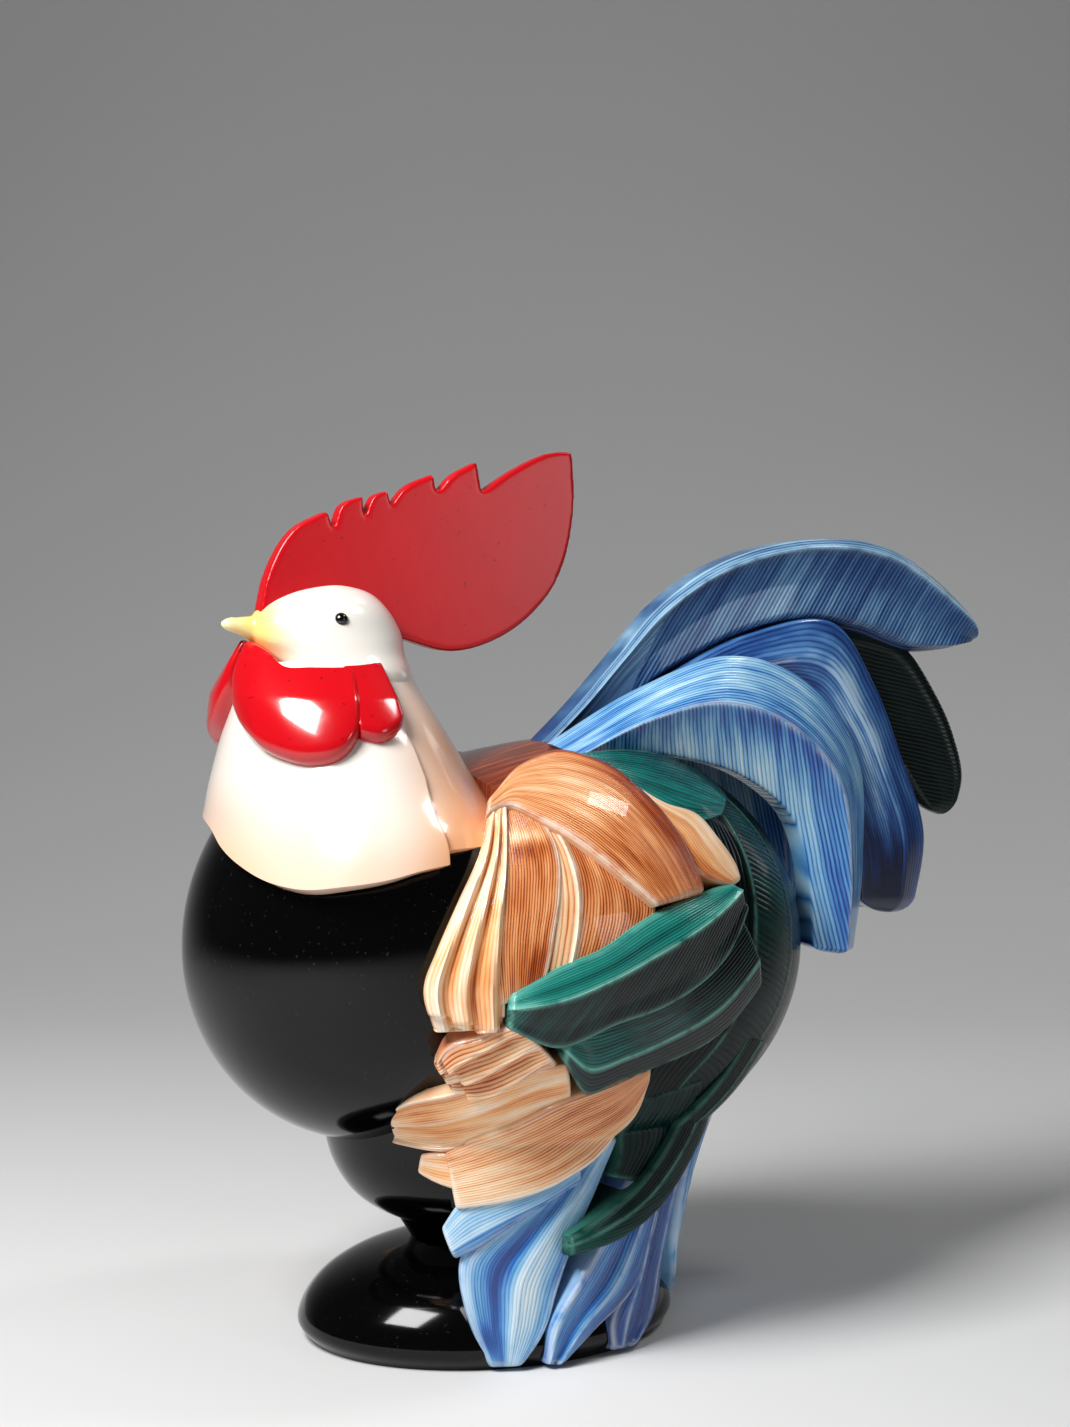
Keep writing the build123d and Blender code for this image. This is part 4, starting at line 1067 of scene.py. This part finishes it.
sweep = {"near": 2600.0, "far": -600.0, "bend": 1200.0, "height": 5200.0, "halfWidth": 5000.0, "turn": 65.0}
bendTurn = np.linspace(0, math.pi / 2, 24)
floorOut = np.concatenate([[sweep["near"]], sweep["far"] - sweep["bend"] * np.sin(bendTurn),
                           [sweep["far"] - sweep["bend"]]])
floorUp = np.concatenate([[0], sweep["bend"] * (1 - np.cos(bendTurn)), [sweep["height"]]])
floorSide = np.linspace(-sweep["halfWidth"], sweep["halfWidth"], 12)
out, sideways = np.meshgrid(floorOut, floorSide, indexing="ij")
facing = math.radians(sweep["turn"])
studioFloor = claySheet("studioFloor", np.stack([
    out * math.sin(facing) + sideways * math.cos(facing),
    -out * math.cos(facing) + sideways * math.sin(facing),
    floorUp[:, None] + 0 * sideways,
], -1))
selectOnly(studioFloor)
bpy.ops.object.shade_smooth()
floorPaint = Glaze("floorPaint", 0.75, 0.0)
grain = floorPaint.mix(floorPaint.cloud(3), hue("dedede"), hue("dadada"))
studioFloor.data.materials.append(floorPaint.paint("Base Color", grain))

world = bpy.data.worlds.new("studioWorld")
bpy.context.scene.world = world
world.use_nodes = True
world.node_tree.nodes["Background"].inputs["Color"].default_value = (0.82, 0.84, 0.86, 1)
world.node_tree.nodes["Background"].inputs["Strength"].default_value = 0.06


def softBox(name, place, aim, size, power):
    bpy.ops.object.light_add(type="AREA", location=place)
    lamp = bpy.context.object
    lamp.name = name
    lamp.data.shape = "RECTANGLE"
    lamp.data.size, lamp.data.size_y = size
    lamp.data.energy = power
    lamp.rotation_mode = "QUATERNION"
    lamp.rotation_quaternion = (Vector(aim) - Vector(place)).to_track_quat("-Z", "Y")


softBox("windowBox", (0.26, -0.6, 0.84), (0, 0, 0.15), (0.37, 0.42), 14)
softBox("skyBox", (0.22, 0.75, 1.35), (0.05, 0.0, 0.15), (0.24, 0.24), 3)
softBox("sidePanel", (1.25, 0.7, 0.42), (0, 0.0, 0.26), (0.26, 0.4), 1.3)
softBox("rearPanel", (-0.45, 1.35, 0.7), (0, 0.12, 0.2), (0.3, 0.6), 1)

photo = {"view": 65.0, "pitch": 3.0, "place": (776.44, -343.35, 255.33), "halfAngle": 16.0}
photoLens = bpy.data.cameras.new("photoCamera")
photoLens.sensor_fit = "AUTO"
photoLens.sensor_width = 36
photoLens.lens = 18 / math.tan(math.radians(photo["halfAngle"]))
camera = bpy.data.objects.new("photoCamera", photoLens)
bpy.context.scene.collection.objects.link(camera)
camera.location = Vector(photo["place"]) * mm
camera.rotation_euler = (math.radians(90 - photo["pitch"]), 0, math.radians(photo["view"]))
bpy.context.scene.camera = camera
bpy.context.scene.view_settings.view_transform = "Standard"

print("scene ready")
